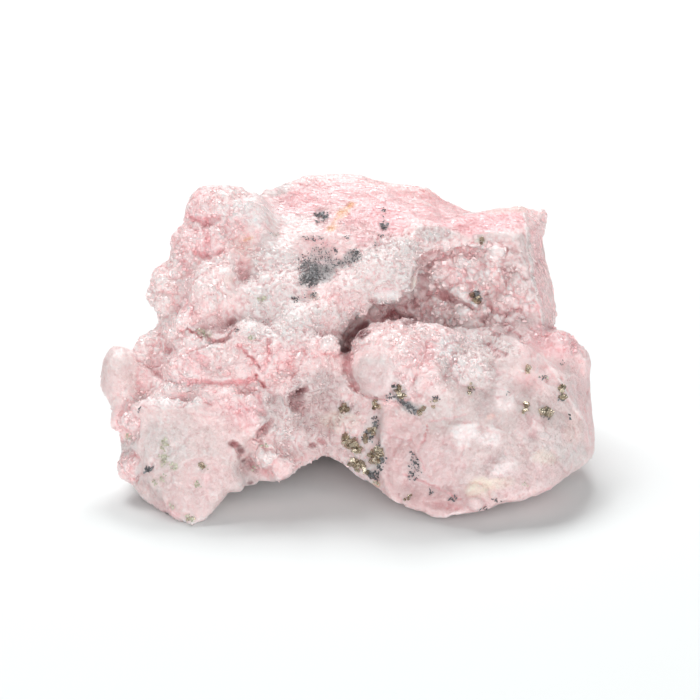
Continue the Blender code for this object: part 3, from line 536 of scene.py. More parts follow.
# Relief of each habit. A rise is counted from its middle, so that it neither swells nor wears the rock.
RELIEF = rows_of(Relief, (
    (CRUST, Look.RISE, 4.8, 27, 0.60, 0.7), (CRUST, Look.RISE, 2.3, 11, 0.25, 0.6),
    (CRUST, Look.RISE, 1.0, 21, 0.14, 0.6), (CRUST, Look.SLANT, 1.0, 21, 0.17),
    (CRUST, Look.SLANT, 0.95, 35, 0.14),
    (SUGAR, Look.RISE, 1.0, 21, 0.18, 0.6), (SUGAR, Look.SLANT, 1.0, 21, 0.26),
    (SUGAR, Look.NOISE, 2.2, 51, 0.28), (SUGAR, Look.SLANT, 0.95, 35, 0.16),
    (DRUSE, Look.RISE, 1.9, 31, 0.40, 0.6), (DRUSE, Look.SLANT, 1.9, 31, 0.60),
    (DRUSE, Look.RISE, 0.95, 35, 0.14, 0.6), (DRUSE, Look.SLANT, 0.95, 35, 0.28),
    (DRUSE, Look.NOISE, 3.4, 41, 0.85),
    (FIBRE, Look.STRAND, 0.9, 61, 0.11), (FIBRE, Look.BRAID, 3.2, 65, 0.26),
    (FIBRE, Look.SLANT, 0.95, 35, 0.12), (FIBRE, Look.RISE, 1.0, 21, 0.06, 0.6),
    (MASSIVE, Look.NOISE, 5.0, 89, 0.30), (MASSIVE, Look.SLANT, 4.2, 81, 0.20),
    (MASSIVE, Look.SLANT, 1.7, 85, 0.09), (MASSIVE, Look.SLANT, 0.95, 35, 0.07),
    (MASSIVE, Look.NOISE, 1.3, 97, 0.05),
))


# ---------------------------------------------------------------- noise


def lattice_value(cells: np.ndarray, seed: int) -> np.ndarray:
    """A fixed random number for each lattice point: its whole coordinates are multiplied by large
    odd numbers, mixed by exclusive-or and shifted over themselves.

    Args:
        cells: whole coordinates, three to a row.
        seed: which of the many lattices is meant.

    Returns:
        One number from 0 to 1 per row.
    """
    x, y, z = (cells[..., axis].astype(np.int64).astype(np.uint32) for axis in range(3))
    mixed = x * np.uint32(0x8DA6B343) ^ y * np.uint32(0xD8163841) ^ z * np.uint32(0xCB1AB31F)
    mixed ^= np.uint32(seed * 0x9E3779B1 & 0xFFFFFFFF)
    for shift, factor in ((15, 0x2C1B3C6D), (12, 0x297A2D39), (15, 1)):
        mixed ^= mixed >> np.uint32(shift)
        mixed *= np.uint32(factor)
    return mixed.astype(np.float64) / 2**32


def lattice_places(cells: np.ndarray, seed: int) -> np.ndarray:
    """Three lattice values for each cell, as a place from 0 to 1 along each axis."""
    return np.stack([lattice_value(cells, seed + axis) for axis in range(3)], axis=1)


def soft_noise(points: np.ndarray, grain: float, seed: int) -> np.ndarray:
    """Smooth noise: the eight lattice values round a point, blended by a fade of its place between
    them, 3t^2 - 2t^3 along each axis.

    Args:
        points: places, mm.
        grain: size of the lattice, mm.
        seed: which noise is meant.

    Returns:
        One number from -1 to 1 per point.
    """
    place = points / grain
    cell = np.floor(place)
    fade = ease(place - cell, 0, 1)
    total = np.zeros(len(points))
    for corner in np.ndindex(2, 2, 2):
        share = np.where(np.array(corner) == 1, fade, 1 - fade).prod(axis=1)
        total += share * lattice_value(cell + np.array(corner), seed)
    return 2 * total - 1


def layered_noise(points: np.ndarray, grain: float, seed: int, layers: int = 3) -> np.ndarray:
    """Soft noise with finer noise of half the height on it, layer by layer.

    Args:
        points: places, mm.
        grain: size of the coarsest layer, mm.
        seed: which noise is meant.
        layers: how many layers there are.

    Returns:
        One number per point, about -1 to 1.
    """
    total = np.zeros(len(points))
    for layer in range(layers):
        total += soft_noise(points, grain / 2**layer, seed + layer) / 2**layer
    return total / (2 - 2 ** (1 - layers))


def packed_grains(points: np.ndarray, grain: float, seed: int) -> dict[Look, np.ndarray]:
    """Packed grains that fill space, one round a random place in each cell of a lattice, from the
    nearest and second nearest of the 27 centres round each point. The rise is
    1 - exp(-3 (second - nearest)), 0 in a groove and 1 on top; the slant is the way from the centre
    dotted with a random unit vector, about -0.5 to 0.5.

    Args:
        points: places, mm.
        grain: size of the lattice, mm.
        seed: which packing is meant.

    Returns:
        The rise and the slant at the points.
    """
    place = points / grain
    cell = np.floor(place)
    nearest, second = np.full((2, len(points)), 9.0)
    owner, way = np.zeros((2, *place.shape))
    for offset in np.ndindex(3, 3, 3):
        other = cell + np.array(offset) - 1
        out = place - other - lattice_places(other, seed)
        away = np.linalg.norm(out, axis=1)
        closer = away < nearest
        second = np.where(closer, nearest, np.minimum(second, away))
        owner = np.where(closer[:, None], other, owner)
        way = np.where(closer[:, None], out, way)
        nearest = np.where(closer, away, nearest)
    lean = unit(lattice_places(owner, seed + 4) - 0.5)
    return {Look.RISE: 1 - np.exp(-3.0 * (second - nearest)), Look.SLANT: (way * lean).sum(axis=1)}


def ease(value: np.ndarray, low: float, high: float) -> np.ndarray:
    """0 below low, 1 above high, and 3t^2 - 2t^3 between them."""
    part = np.clip((value - low) / (high - low), 0, 1)
    return part * part * (3 - 2 * part)


def unit(vectors: np.ndarray) -> np.ndarray:
    """Each row divided by its own length."""
    return vectors / np.maximum(np.linalg.norm(vectors, axis=-1, keepdims=True), 1e-12)


# ---------------------------------------------------------------- the view grid


@dataclass(frozen=True)
class Wander:
    """Two noises, about -1 to 1, that push each point across and down the view grid."""

    across: np.ndarray
    down: np.ndarray

    @classmethod
    def of(cls, points: np.ndarray, grain: float, seed: int) -> Wander:
        """Layered noise of one grain for both ways."""
        return cls(layered_noise(points, grain, seed), layered_noise(points, grain, seed + 10))


@dataclass(frozen=True)
class Sight:
    """Where points lie on the view grid: columns, rows, and how near the eye they are, mm."""

    columns: np.ndarray
    rows: np.ndarray
    nearness: np.ndarray

    @classmethod
    def of(cls, points: np.ndarray) -> Sight:
        """Sees points from the eye: what stands nearer looks larger by EYE_DISTANCE over the
        distance left.

        Args:
            points: places, mm.

        Returns:
            Their sight.
        """
        arm = points - FACE_MIDDLE
        nearness = arm @ TO_EYE
        larger = EYE_DISTANCE / (EYE_DISTANCE - nearness) / GRID_STEP
        middle = GRID_SIDE / 2
        return cls(middle + arm @ TO_RIGHT * larger, middle - arm @ UP_FACE * larger, nearness)

    def warped(self, wander: Wander, by: float) -> Sight:
        """The same sight with its columns and rows pushed about by up to a number of grid steps."""
        return Sight(self.columns + by * wander.across, self.rows + by * wander.down, self.nearness)

    def oval(self, mark: Oval, wander: Wander | None = None) -> np.ndarray:
        """How far out each point is in the mark's oval: 0 in the middle, 1 on the edge.

        Args:
            mark: the oval.
            wander: pushes that make its outline ragged, in keeping with its size.

        Returns:
            One number per point.
        """
        turn = radians(mark.turn)
        right, down = self.columns - mark.column, self.rows - mark.row
        if wander is not None:
            push = min(6.0, 0.4 * min(mark.wide, mark.tall))
            right, down = right + push * wander.across, down + push * wander.down
        along = (right * cos(turn) + down * sin(turn)) / mark.wide
        across = (down * cos(turn) - right * sin(turn)) / mark.tall
        return np.hypot(along, across)

    def from_path(self, path: tuple[tuple[float, float], ...]) -> np.ndarray:
        """Distance of each point from a path of straight runs.

        Args:
            path: corners of the path as (column, row).

        Returns:
            Distances, in grid steps.
        """
        here = np.stack([self.columns, self.rows], axis=1)
        nearest = np.full(len(here), np.inf)
        for start, end in zip(path, path[1:]):
            run = np.subtract(end, start)
            share = np.clip((here - start) @ run / (run @ run), 0, 1)
            gap = here - start - share[:, None] * run
            nearest = np.minimum(nearest, np.linalg.norm(gap, axis=1))
        return nearest


# ---------------------------------------------------------------- meshes


@dataclass
class Skin:
    """A surface as whole arrays: points in mm, and faces and edges as rows of indices."""

    points: np.ndarray
    faces: np.ndarray
    edges: np.ndarray

    @classmethod
    def of(cls, mesh: bpy.types.Mesh) -> Skin:
        """Reads a mesh in metres whose faces all have the same count of corners.

        Args:
            mesh: the mesh.

        Returns:
            Its skin.
        """
        points = np.empty(len(mesh.vertices) * 3)
        mesh.vertices.foreach_get("co", points)
        loops = np.empty(len(mesh.loops), np.int64)
        mesh.loops.foreach_get("vertex_index", loops)
        edges = np.empty(len(mesh.edges) * 2, np.int64)
        mesh.edges.foreach_get("vertices", edges)
        return cls(points.reshape(-1, 3) / MM, loops.reshape(len(mesh.polygons), -1), edges.reshape(-1, 2))

    def normals(self) -> np.ndarray:
        """Each point's normal: the cross products of its faces' diagonals, added and made unit.

        Returns:
            One row per point.
        """
        corners = self.points[self.faces]
        across = np.cross(corners[:, 2] - corners[:, 0], corners[:, -1] - corners[:, 1])
        total = np.zeros_like(self.points)
        for axis in range(3):
            for side in self.faces.T:
                total[:, axis] += np.bincount(side, across[:, axis], minlength=len(self.points))
        return unit(total)

    def smoothed(self, values: np.ndarray, rounds: int, share: float = 0.6) -> np.ndarray:
        """Values drawn towards their neighbours' mean along the edges, round after round.

        Args:
            values: one row per point.
            rounds: how many times.
            share: how far they go each time.

        Returns:
            One row per point.
        """
        one, other = self.edges.T
        size = len(values)
        count = np.maximum(np.bincount(one, minlength=size) + np.bincount(other, minlength=size), 1)
        for _ in range(rounds):
            means = np.empty_like(values)
            for axis in range(values.shape[1]):
                total = np.bincount(one, values[other, axis], minlength=size)
                total += np.bincount(other, values[one, axis], minlength=size)
                means[:, axis] = total / count
            values = values + share * (means - values)
        return values


def make_object(name: str, points: np.ndarray, faces: np.ndarray, smooth: bool = False) -> bpy.types.Object:
    """A new object from whole arrays.

    Args:
        name: its name.
        points: places, mm.
        faces: corners of each face, as rows of indices.
        smooth: whether its shading runs over the edges.

    Returns:
        The object, linked to the scene.
    """
    mesh = bpy.data.meshes.new(name)
    count, sides = faces.shape
    mesh.vertices.add(len(points))
    mesh.vertices.foreach_set("co", (points * MM).ravel())
    mesh.loops.add(count * sides)
    mesh.loops.foreach_set("vertex_index", faces.ravel().astype(np.int32))
    mesh.polygons.add(count)
    mesh.polygons.foreach_set("loop_start", np.arange(count, dtype=np.int32) * sides)
    mesh.polygons.foreach_set("use_smooth", np.full(count, smooth))
    mesh.update(calc_edges=True)
    mesh.validate()
    made = bpy.data.objects.new(name, mesh)
    bpy.context.scene.collection.objects.link(made)
    return made


def bake_modifier(made: bpy.types.Object, kind: str, **settings: object) -> Skin:
    """Puts what a modifier makes of a mesh in the mesh's place.

    Args:
        made: the object.
        kind: the modifier's type.
        settings: its properties.

    Returns:
        The new mesh's skin.
    """
    modifier = made.modifiers.new(kind, kind)
    for key, value in settings.items():
        setattr(modifier, key, value)
    graph = bpy.context.evaluated_depsgraph_get()
    result = bpy.data.meshes.new_from_object(made.evaluated_get(graph), depsgraph=graph)
    last = made.data
    made.modifiers.clear()
    made.data = result
    bpy.data.meshes.remove(last)
    return Skin.of(result)


# ---------------------------------------------------------------- finishes


class Nodes:
    """Short ways to add and join shader nodes in one material."""

    def __init__(self, name: str) -> None:
        """Starts a material that has only a Principled shader.

        Args:
            name: the material's name.
        """
        self.material = bpy.data.materials.new(name)
        self.material.use_nodes = True
        self.tree = self.material.node_tree
        self.shader = self.tree.nodes["Principled BSDF"]

    def fill(self, node: bpy.types.Node, inputs: Inputs) -> Outputs:
        """Links each input that is given a socket, and sets each that is given a value.

        Args:
            node: the node.
            inputs: what its inputs are given.

        Returns:
            The node's outputs.
        """
        for key, given in inputs.items():
            if isinstance(given, Socket):
                self.tree.links.new(given, node.inputs[key])
            else:
                node.inputs[key].default_value = given
        return node.outputs

    def add(self, kind: str, inputs: Inputs, **settings: object) -> Outputs:
        """Adds a shader node.

        Args:
            kind: its type, without the words before it.
            inputs: what its inputs are given.
            settings: properties to set on it.

        Returns:
            Its outputs.
        """
        node = self.tree.nodes.new("ShaderNode" + kind)
        for key, value in settings.items():
            setattr(node, key, value)
        return self.fill(node, inputs)

    def mottle(self, size: float, low: float, high: float, most: float) -> Socket:
        """Noise on Object coordinates, of which the part from low to high is spread from 0 to most.

        Args:
            size: its grain, mm.
            low: what gives 0.
            high: what gives the most.
            most: the most.

        Returns:
            The spread noise.
        """
        place = self.add("TexCoord", {})["Object"]
        noise = self.add("TexNoise", {"Vector": place, "Scale": 1 / (size * MM), "Detail": 3.0})["Fac"]
        spread = {"Value": noise, "From Min": low, "From Max": high, "To Max": most}
        return self.add("MapRange", spread, clamp=True)["Result"]

    def facets(self, size: float) -> Socket:
        """Packed facets: in each Voronoi cell the height rises evenly in a direction of its own,
        the dot product of the cell's random colour, less a half, and the way from its centre.

        Args:
            size: across a facet, mm.

        Returns:
            The height, about -0.3 to 0.3 of the size.
        """
        place = self.add("TexCoord", {})["Object"]
        grown = self.add("VectorMath", {0: place, "Scale": 1 / (size * MM)}, operation="SCALE")[0]
        cells = self.add("TexVoronoi", {"Vector": grown, "Scale": 1.0}, feature="F1")
        away = self.add("VectorMath", {0: grown, 1: cells["Position"]}, operation="SUBTRACT")[0]
        lean = self.add("VectorMath", {0: cells["Color"], 1: (0.5, 0.5, 0.5)}, operation="SUBTRACT")[0]
        return self.add("VectorMath", {0: away, 1: lean}, operation="DOT_PRODUCT")["Value"]

    def mix(self, share: Socket, colour: Socket, other: Rgb, blend: str = "MIX") -> Socket:
        """A linked colour with a share of a fixed one mixed into it."""
        inputs = {0: share, 6: colour, 7: (*other, 1)}
        return self.add("Mix", inputs, data_type="RGBA", blend_type=blend)[2]


@dataclass(frozen=True)
class StoneFinish:
    """A mineral whose colour is in its tint attribute, with fine facets that catch the light."""

    name: str
    slot: str
    roughness: float
    index: float  # of refraction
    glow: float = 0.0  # share of light that goes under the skin
    reach: Rgb = (1.50, 1.15, 1.12)  # how far red, green and blue light goes there, mm
    metal: float = 0.0
    mottle: float = 0.0  # how strongly fine pink and white mottling shows
    grain: float = 0.5  # its size, mm
    pink: Rgb = (0.95, 0.78, 0.79)  # what its darker mottles multiply the colour by
    white: Rgb = (0.96, 0.88, 0.87)  # its paler mottles
    facet: float = 0.0  # size of the facets, mm
    finer: float = 0.45  # size of the finer facets on them, as a share
    slant: float = 0.42  # how steeply they may lean

    def material(self) -> bpy.types.Material:
        """The tint, mottled darker and lighter, with facets that each lean their own way.

        Returns:
            The material.
        """
        nodes = Nodes(self.name)
        colour = nodes.add("Attribute", {}, attribute_name=TINT)["Color"]
        if self.mottle:
            deep = nodes.mottle(self.grain, 0.45, 0.75, self.mottle)
            pale = nodes.mottle(self.grain * 0.6, 0.50, 0.72, 0.6 * self.mottle)
            colour = nodes.mix(pale, nodes.mix(deep, colour, self.pink, "MULTIPLY"), self.white)
        nodes.fill(nodes.shader, {
            "Base Color": colour, "Roughness": self.roughness, "IOR": self.index, "Metallic": self.metal,
            "Subsurface Weight": self.glow, "Subsurface Radius": self.reach, "Subsurface Scale": MM,
        })
        bump: Inputs = {}
        for size in (self.facet, self.facet * self.finer) if self.facet else ():
            bump |= {"Strength": 1.0, "Distance": size * self.slant * MM, "Height": nodes.facets(size)}
            bump["Normal"] = nodes.add("Bump", bump)["Normal"]
            nodes.fill(nodes.shader, {"Normal": bump["Normal"]})
        return nodes.material

    def dress(self, made: bpy.types.Object, tints: np.ndarray) -> None:
        """Gives a piece its colours and its finish, and lets it ride with the rock.

        Args:
            made: the piece.
            tints: linear red, green and blue, one row per point.
        """
        colours = np.ones((len(tints), 4), np.float32)
        colours[:, :3] = np.clip(tints, 0, 1)
        layer = made.data.attributes.new(TINT, "FLOAT_COLOR", "POINT")
        layer.data.foreach_set("color", colours.ravel())
        made.data.materials.append(self.material())
        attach(made, BODY)
        LOG.info("%s: %d points, %d faces", made.name, len(made.data.vertices), len(made.data.polygons))


ROCK_FINISH = StoneFinish(
    "massive_rhodochrosite", "rhodochrosite", 0.42, 1.60, 0.85, mottle=0.38, facet=0.42
)
CRUST_FINISH = StoneFinish("crystal_rhodochrosite", "rhodochrosite", 0.25, 1.65)
QUARTZ_FINISH = StoneFinish("sugary_quartz", "quartz", 0.18, 1.54)
PYRITE_FINISH = StoneFinish("brassy_pyrite", "pyrite", 0.26, 1.50, metal=1.0, facet=0.25)
SULPHIDE_FINISH = StoneFinish("dark_sulphide", "sulphide", 0.36, 1.90, metal=0.35)


# ---------------------------------------------------------------- the rock mass


@dataclass
class RockMass:
    """The rock itself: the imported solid's form with its minerals, knolls and cracks."""

    cell: float = 0.35  # of the fine remesh, mm
    triangles: int = 196000
    rounds: int = 7  # of smoothing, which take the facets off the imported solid
    lean: float = 5.6  # of the right block over the floor, mm
    rough: float = 0.05  # fine roughness over everything, mm
    turned_away: float = -0.12  # cosine to the eye past which the remesh is thinned
    strand: float = 0.16  # how thick the finest fibres are for their length
    braid: float = 0.35  # how thick their bundles are
    knoll: float = 0.6  # how a knoll's side bulges
    hollow: float = 1.6  # how a hollow's side tapers
    sole: float = 0.25  # what lies lower than this rests on the floor, mm
    groove: Rgb = (0.02, 0.13, 0.12)  # painted shade: what a full groove takes off the red, green and blue
    ridge: Rgb = (0.0, 0.03, 0.03)  # painted highlight: what a full ridge adds to them

    def __post_init__(self) -> None:
        """Takes the form and works out its surface, habits and colours."""
        self.skin = self.fine_form()
        form = self.skin.normals()
        self.turned = self.skin.smoothed(form, 4) @ TO_EYE
        self.facing = ease(self.turned, -0.10, 0.30)
        self.form_normals = unit(self.skin.smoothed(form, 3))
        self.habits = self.laid_habits()
        self.openings = self.crack_shares()
        self.skin.points = self.carved()
        self.points, self.normals = self.skin.points, self.skin.normals()
        self.tints = self.laid_tints()

    def fine_form(self) -> Skin:
        """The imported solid, merged, remeshed finely, thinned where it is turned away, and smoothed.

        Returns:
            Its skin of triangles.
        """
        packed = Skin.of(bpy.data.objects[NODE].data)
        merged, index = np.unique(np.round(packed.points, 4), axis=0, return_inverse=True)
        draft = make_object("form_draft", merged, index.reshape(-1)[packed.faces])
        fine = bake_modifier(draft, "REMESH", mode="VOXEL", voxel_size=self.cell * MM)
        away = np.flatnonzero(fine.smoothed(fine.normals(), 6) @ TO_EYE < self.turned_away)
        group = draft.vertex_groups.new(name="away from the eye")
        group.add(away.tolist(), 1.0, "REPLACE")
        ratio = self.triangles / (2 * len(fine.faces))
        skin = bake_modifier(
            draft, "DECIMATE", ratio=ratio, vertex_group=group.name, use_collapse_triangulate=True
        )
        bpy.data.objects.remove(draft)
        skin.points = skin.smoothed(skin.points, self.rounds)
        skin.points += self.overhang(skin.points)[:, None] * TO_EYE
        seen = Sight.of(skin.points)
        for nudge in NUDGES:
            share = 1 - ease(seen.oval(nudge), 0.3, 1.2)
            skin.points += share[:, None] * (nudge.right * TO_RIGHT + nudge.up * UP_FACE)
        return skin

    def overhang(self, points: np.ndarray) -> np.ndarray:
        """How far the right block's front leans out over the floor, towards the eye.

        The lean is largest along the low front edge and eases to none towards both ends of the
        block, its top and the underside behind the edge.

        Args:
            points: places on the rock, mm.

        Returns:
            One distance per point, mm.
        """
        columns = Sight.of(points).columns
        along = ease(columns, 375, 490) * (1 - ease(columns, 535, 590))
        high, fore = 1 - ease(points[:, 2], 13.0, 30.0), 1 - ease(points[:, 1], -17.0, -7.0)
        return self.lean * along * high * fore

    def laid_habits(self) -> dict[Habit, np.ndarray]:
        """The share of each habit at each point: the zones over each other where the face is
        seen, and massive rock with a few crusted and sugary stretches and a lined pocket where
        it isn't. The shares add up to 1.

        Returns:
            One array per habit.
        """
        points = self.skin.points
        seen = Sight.of(points).warped(Wander.of(points, 3.0, 40), 5.0)
        front = {habit: np.full(len(points), float(habit is MASSIVE)) for habit in Habit}
        for zone in ZONES:
            share = 1 - ease(seen.oval(zone), 0.85, 1.15)
            for habit in Habit:
                front[habit] = front[habit] * (1 - share) + share * (habit is zone.habit)
        lined = 1 - ease(np.linalg.norm(points - SIDE_POCKET, axis=1), 4.5, 8.0)
        crusted = ease(layered_noise(points, 14.0, 70), 0.10, 0.35)
        crusted = np.maximum(crusted, ease(-points[:, 0], 26.0, 32.0))
        sugary = ease(layered_noise(points, 11.0, 74), 0.22, 0.42) * (1 - crusted) * (1 - lined)
        crusted = crusted * (1 - lined)
        hidden = {CRUST: crusted, SUGAR: sugary, DRUSE: lined, MASSIVE: 1 - crusted - sugary - lined}
        back = 1 - self.facing
        return {habit: front[habit] * self.facing + hidden.get(habit, 0) * back for habit in Habit}

    def carved(self) -> np.ndarray:
        """The skin's points, moved along their normals by the relief of each habit and by the
        knolls and hollows, and then away from the eye by the cracks.

        Returns:
            One row per point.
        """
        points = self.skin.points
        along = points @ self.fibre_frame()
        drawn = {Look.STRAND: along * (self.strand, 1, 1), Look.BRAID: along * (self.braid, 1, 1)}
        ways = {Look.NOISE: points, **drawn}
        grains = {
            (layer.grain, layer.seed): packed_grains(points, layer.grain, layer.seed)
            for layer in RELIEF if layer.look not in ways
        }
        height = self.rough * layered_noise(points, 0.6, 95, 2)
        for layer in RELIEF:
            if layer.look in ways:
                rise = layered_noise(ways[layer.look], layer.grain, layer.seed)
            else:
                rise = grains[layer.grain, layer.seed][layer.look] - layer.middle
            height += self.habits[layer.habit] * layer.height * rise
        seen, wander = Sight.of(points), Wander.of(points, 1.8, 44)
        for swell in SWELLS:
            bowl = np.clip(1 - seen.oval(swell, wander) ** 2, 0, 1)
            side = self.knoll if swell.height > 0 else self.hollow
            height += swell.height * self.facing * bowl**side
        moved = points + height[:, None] * self.form_normals
        for crack, share in zip(CRACKS, self.openings):
            moved -= (crack.depth * share)[:, None] * TO_EYE
        moved[:, 2] = np.maximum(moved[:, 2], FLOOR_GAP)
        moved[points[:, 2] < self.sole, 2] = FLOOR_GAP
        return moved

    def crack_shares(self) -> list[np.ndarray]:
        """How deep each point is in each crack, 0 outside and 1 in its middle. The widths wander
        between about half and one and a half of the ones given.

        Returns:
            One array per crack.
        """
        points = self.skin.points
        seen = Sight.of(points).warped(Wander.of(points, 1.0, 48), 2.0)
        wander = 1 + 0.6 * soft_noise(points, 1.3, 57)
        shares = []
        for crack in CRACKS:
            near = seen.from_path(crack.path) / wander
            shares.append((1 - ease(near, 0.3 * crack.width, 1.4 * crack.width)) * self.facing)
        return shares

    @staticmethod
    def fibre_frame() -> np.ndarray:
        """Three axes as columns, of which the first runs along the fibres of the crest."""
        along = unit(TO_RIGHT - 0.30 * UP_FACE)
        return np.stack([along, np.cross(TO_EYE, along), TO_EYE], axis=1)

    def laid_tints(self) -> np.ndarray:
        """The colour at each point: shell and blush by noise; the dabs over them, many of them painted shade
        under knolls, in recesses and on undersides and a few painted light; the cracks' colours, mostly
        painted shade in the crevices; and painted shade in the grooves with a slight painted highlight on the
        tops.

        Returns:
            Linear red, green and blue.
        """
        points = self.points
        drift = ease(layered_noise(points, 5.0, 101), -0.5, 0.5)
        tints = back = BLUSH.over(np.full_like(points, SHELL.value), drift)
        for grain, seed, low, tint in (
            (12.0, 111, 0.05, MILK), (9.0, 115, 0.20, ROSE), (8.0, 119, 0.22, DUSK), (7.0, 123, 0.30, ICE),
            (5.0, 127, 0.45, CREAM),
        ):
            back = tint.over(back, 0.75 * ease(layered_noise(points, grain, seed), low, low + 0.3))
        seen, wander = Sight.of(points), Wander.of(points, 2.2, 131)
        for dab in DABS:
            tints = dab.tint.over(tints, dab.strength * (1 - ease(seen.oval(dab, wander), 0.65, 1.15)))
        # the cracks' colours: mostly painted shade in the crevices
        for crack, opening in zip(CRACKS, self.openings):
            tints = crack.tint.over(tints, crack.strength * opening)
        facing = self.facing[:, None]
        # painted shade in the grooves and a slight painted highlight on the ridges
        return self.streaked(tints * facing + back * (1 - facing)) * self.groove_shade()

    def streaked(self, tints: np.ndarray) -> np.ndarray:
        """White and rosy streaks along the fibres, and small pale and rosy spots elsewhere.

        Args:
            tints: the colours so far.

        Returns:
            The streaked colours.
        """
        along = self.points @ self.fibre_frame()
        drawn = along * (self.strand, 1, 1)
        fibre = self.habits[FIBRE]
        calm = (1 - 0.6 * fibre) * (1 - 0.4 * self.habits[MASSIVE]) * (1 - 0.5 * self.habits[SUGAR])
        for places, where, grain, seed, low, tint, most in (
            (drawn, fibre, 0.9, 141, 0.05, SHELL, 0.35),
            (drawn, fibre, 1.1, 145, 0.10, ROSE, 0.50),
            (along, calm, 1.3, 149, 0.10, SHELL, 0.40),
            (along, calm, 1.0, 153, 0.12, ROSE, 0.20),
        ):
            streak = ease(layered_noise(places, grain, seed, 2), low, low + 0.5)
            tints = tint.over(tints, most * where * streak)
        return tints

    def groove_shade(self) -> np.ndarray:
        """Painted shade, a deeper and darker pink where the skin is hollow, and a slight painted highlight
        where it stands up, from how far a point lies below or above its neighbourhood's mean along the
        normal.

        Returns:
            Factors of red, green and blue.
        """
        shade = np.ones((len(self.points), 3))
        for rounds, full in ((3, 0.10), (14, 0.45)):
            mean = self.skin.smoothed(self.points, rounds)
            above = ((self.points - mean) * self.normals).sum(axis=1)
            hollow = np.clip(-above / full, -1, 1)[:, None]
            shade *= 1 - hollow * np.where(hollow > 0, self.groove, self.ridge)
        return shade

    def build(self) -> None:
        """Makes the piece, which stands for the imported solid."""
        made = make_object("rock_mass", self.points, self.skin.faces, smooth=True)
        ROCK_FINISH.dress(made, self.tints)
        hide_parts(NODE)


# ---------------------------------------------------------------- crystals


def hull_of(rings: list[np.ndarray]) -> tuple[np.ndarray, np.ndarray]:
    """Triangles of a closed shape whose rings have the same count of points, bottom to top; the
    first and last ring are closed by fans.

    Args:
        rings: points of each ring, anticlockwise seen from above.

    Returns:
        Points, and triangles as rows of three indices.
    """
    sides = len(rings[0])
    side = np.arange(sides)
    after = (side + 1) % sides
    faces = []
    for low in range(0, (len(rings) - 1) * sides, sides):
        high = low + sides
        faces.append(np.stack([low + side, low + after, high + after], axis=1))
        faces.append(np.stack([low + side, high + after, high + side], axis=1))
    fan = np.arange(1, sides - 1)
    top = (len(rings) - 1) * sides
    faces.append(np.stack([0 * fan, fan + 1, fan], axis=1))
    faces.append(np.stack([top + 0 * fan, top + fan, top + fan + 1], axis=1))
    return np.concatenate(rings), np.concatenate(faces)


def ring(sides: int, radius: float, height: float, turn: float = 0.0) -> np.ndarray:
    """Points round a circle, the first turned by a share of a side: (r cos a, r sin a, height)."""
    angle = 2 * np.pi * (np.arange(sides) + turn) / sides
    return np.stack([radius * np.cos(angle), radius * np.sin(angle), np.full(sides, height)], axis=1)


def rhomb() -> tuple[np.ndarray, np.ndarray]:
    """A cleavage rhomb about 1 across: every sum of three equal edges that stand 103 degrees
    apart round the upright axis.

    Returns:
        Points and triangles.
    """
    lean = np.sqrt((1 + 2 * cos(radians(103))) / 3)
    edges = ring(3, float(np.sqrt(1 - lean**2)), float(lean))
    sums = np.array([[0, 0, 0], [1, 0, 0], [1, 1, 0], [0, 1, 0], [0, 1, 1], [0, 0, 1], [1, 0, 1], [1, 1, 1]])
    quads = np.array([[0, 1, 2, 3], [0, 3, 4, 5], [0, 5, 6, 1], [7, 2, 1, 6], [7, 4, 3, 2], [7, 6, 5, 4]])
    points = sums @ edges
    points -= points.mean(axis=0)
    return points * 0.72, np.concatenate([quads[:, [0, 2, 1]], quads[:, [0, 3, 2]]])


# Rings of the other crystals, bottom to top: sides, radius, height and turn of the first point.
RINGS = {
    Form.POINT: ((6, 0.30, -0.5, 0.0), (6, 0.29, 0.18, 0.0), (6, 0.015, 0.55, 0.0)),
    Form.SPLINTER: ((4, 0.5, -0.4, 0.0), (4, 0.42, 0.32, 0.1)),
    Form.CUBE: ((4, 0.70, -0.5, 0.5), (4, 0.70, 0.5, 0.5)),
    Form.CHIP: ((5, 0.42, -0.25, 0.0), (5, 0.55, 0.0, 0.3), (5, 0.30, 0.22, 0.1)),
}


def template(form: Form) -> tuple[np.ndarray, np.ndarray]:
    """One crystal, about 1 across, with its foot downwards and its triangles turned outwards.

    Args:
        form: which shape.

    Returns:
        Points and triangles.
    """
    points, faces = rhomb() if form is Form.RHOMB else hull_of([ring(*sizes) for sizes in RINGS[form]])
    corners = points[faces]
    across = np.cross(corners[:, 1] - corners[:, 0], corners[:, 2] - corners[:, 0])
    inward = (across * (corners.mean(axis=1) - points.mean(axis=0))).sum(axis=1) < 0
    return points, np.where(inward[:, None], faces[:, ::-1], faces)


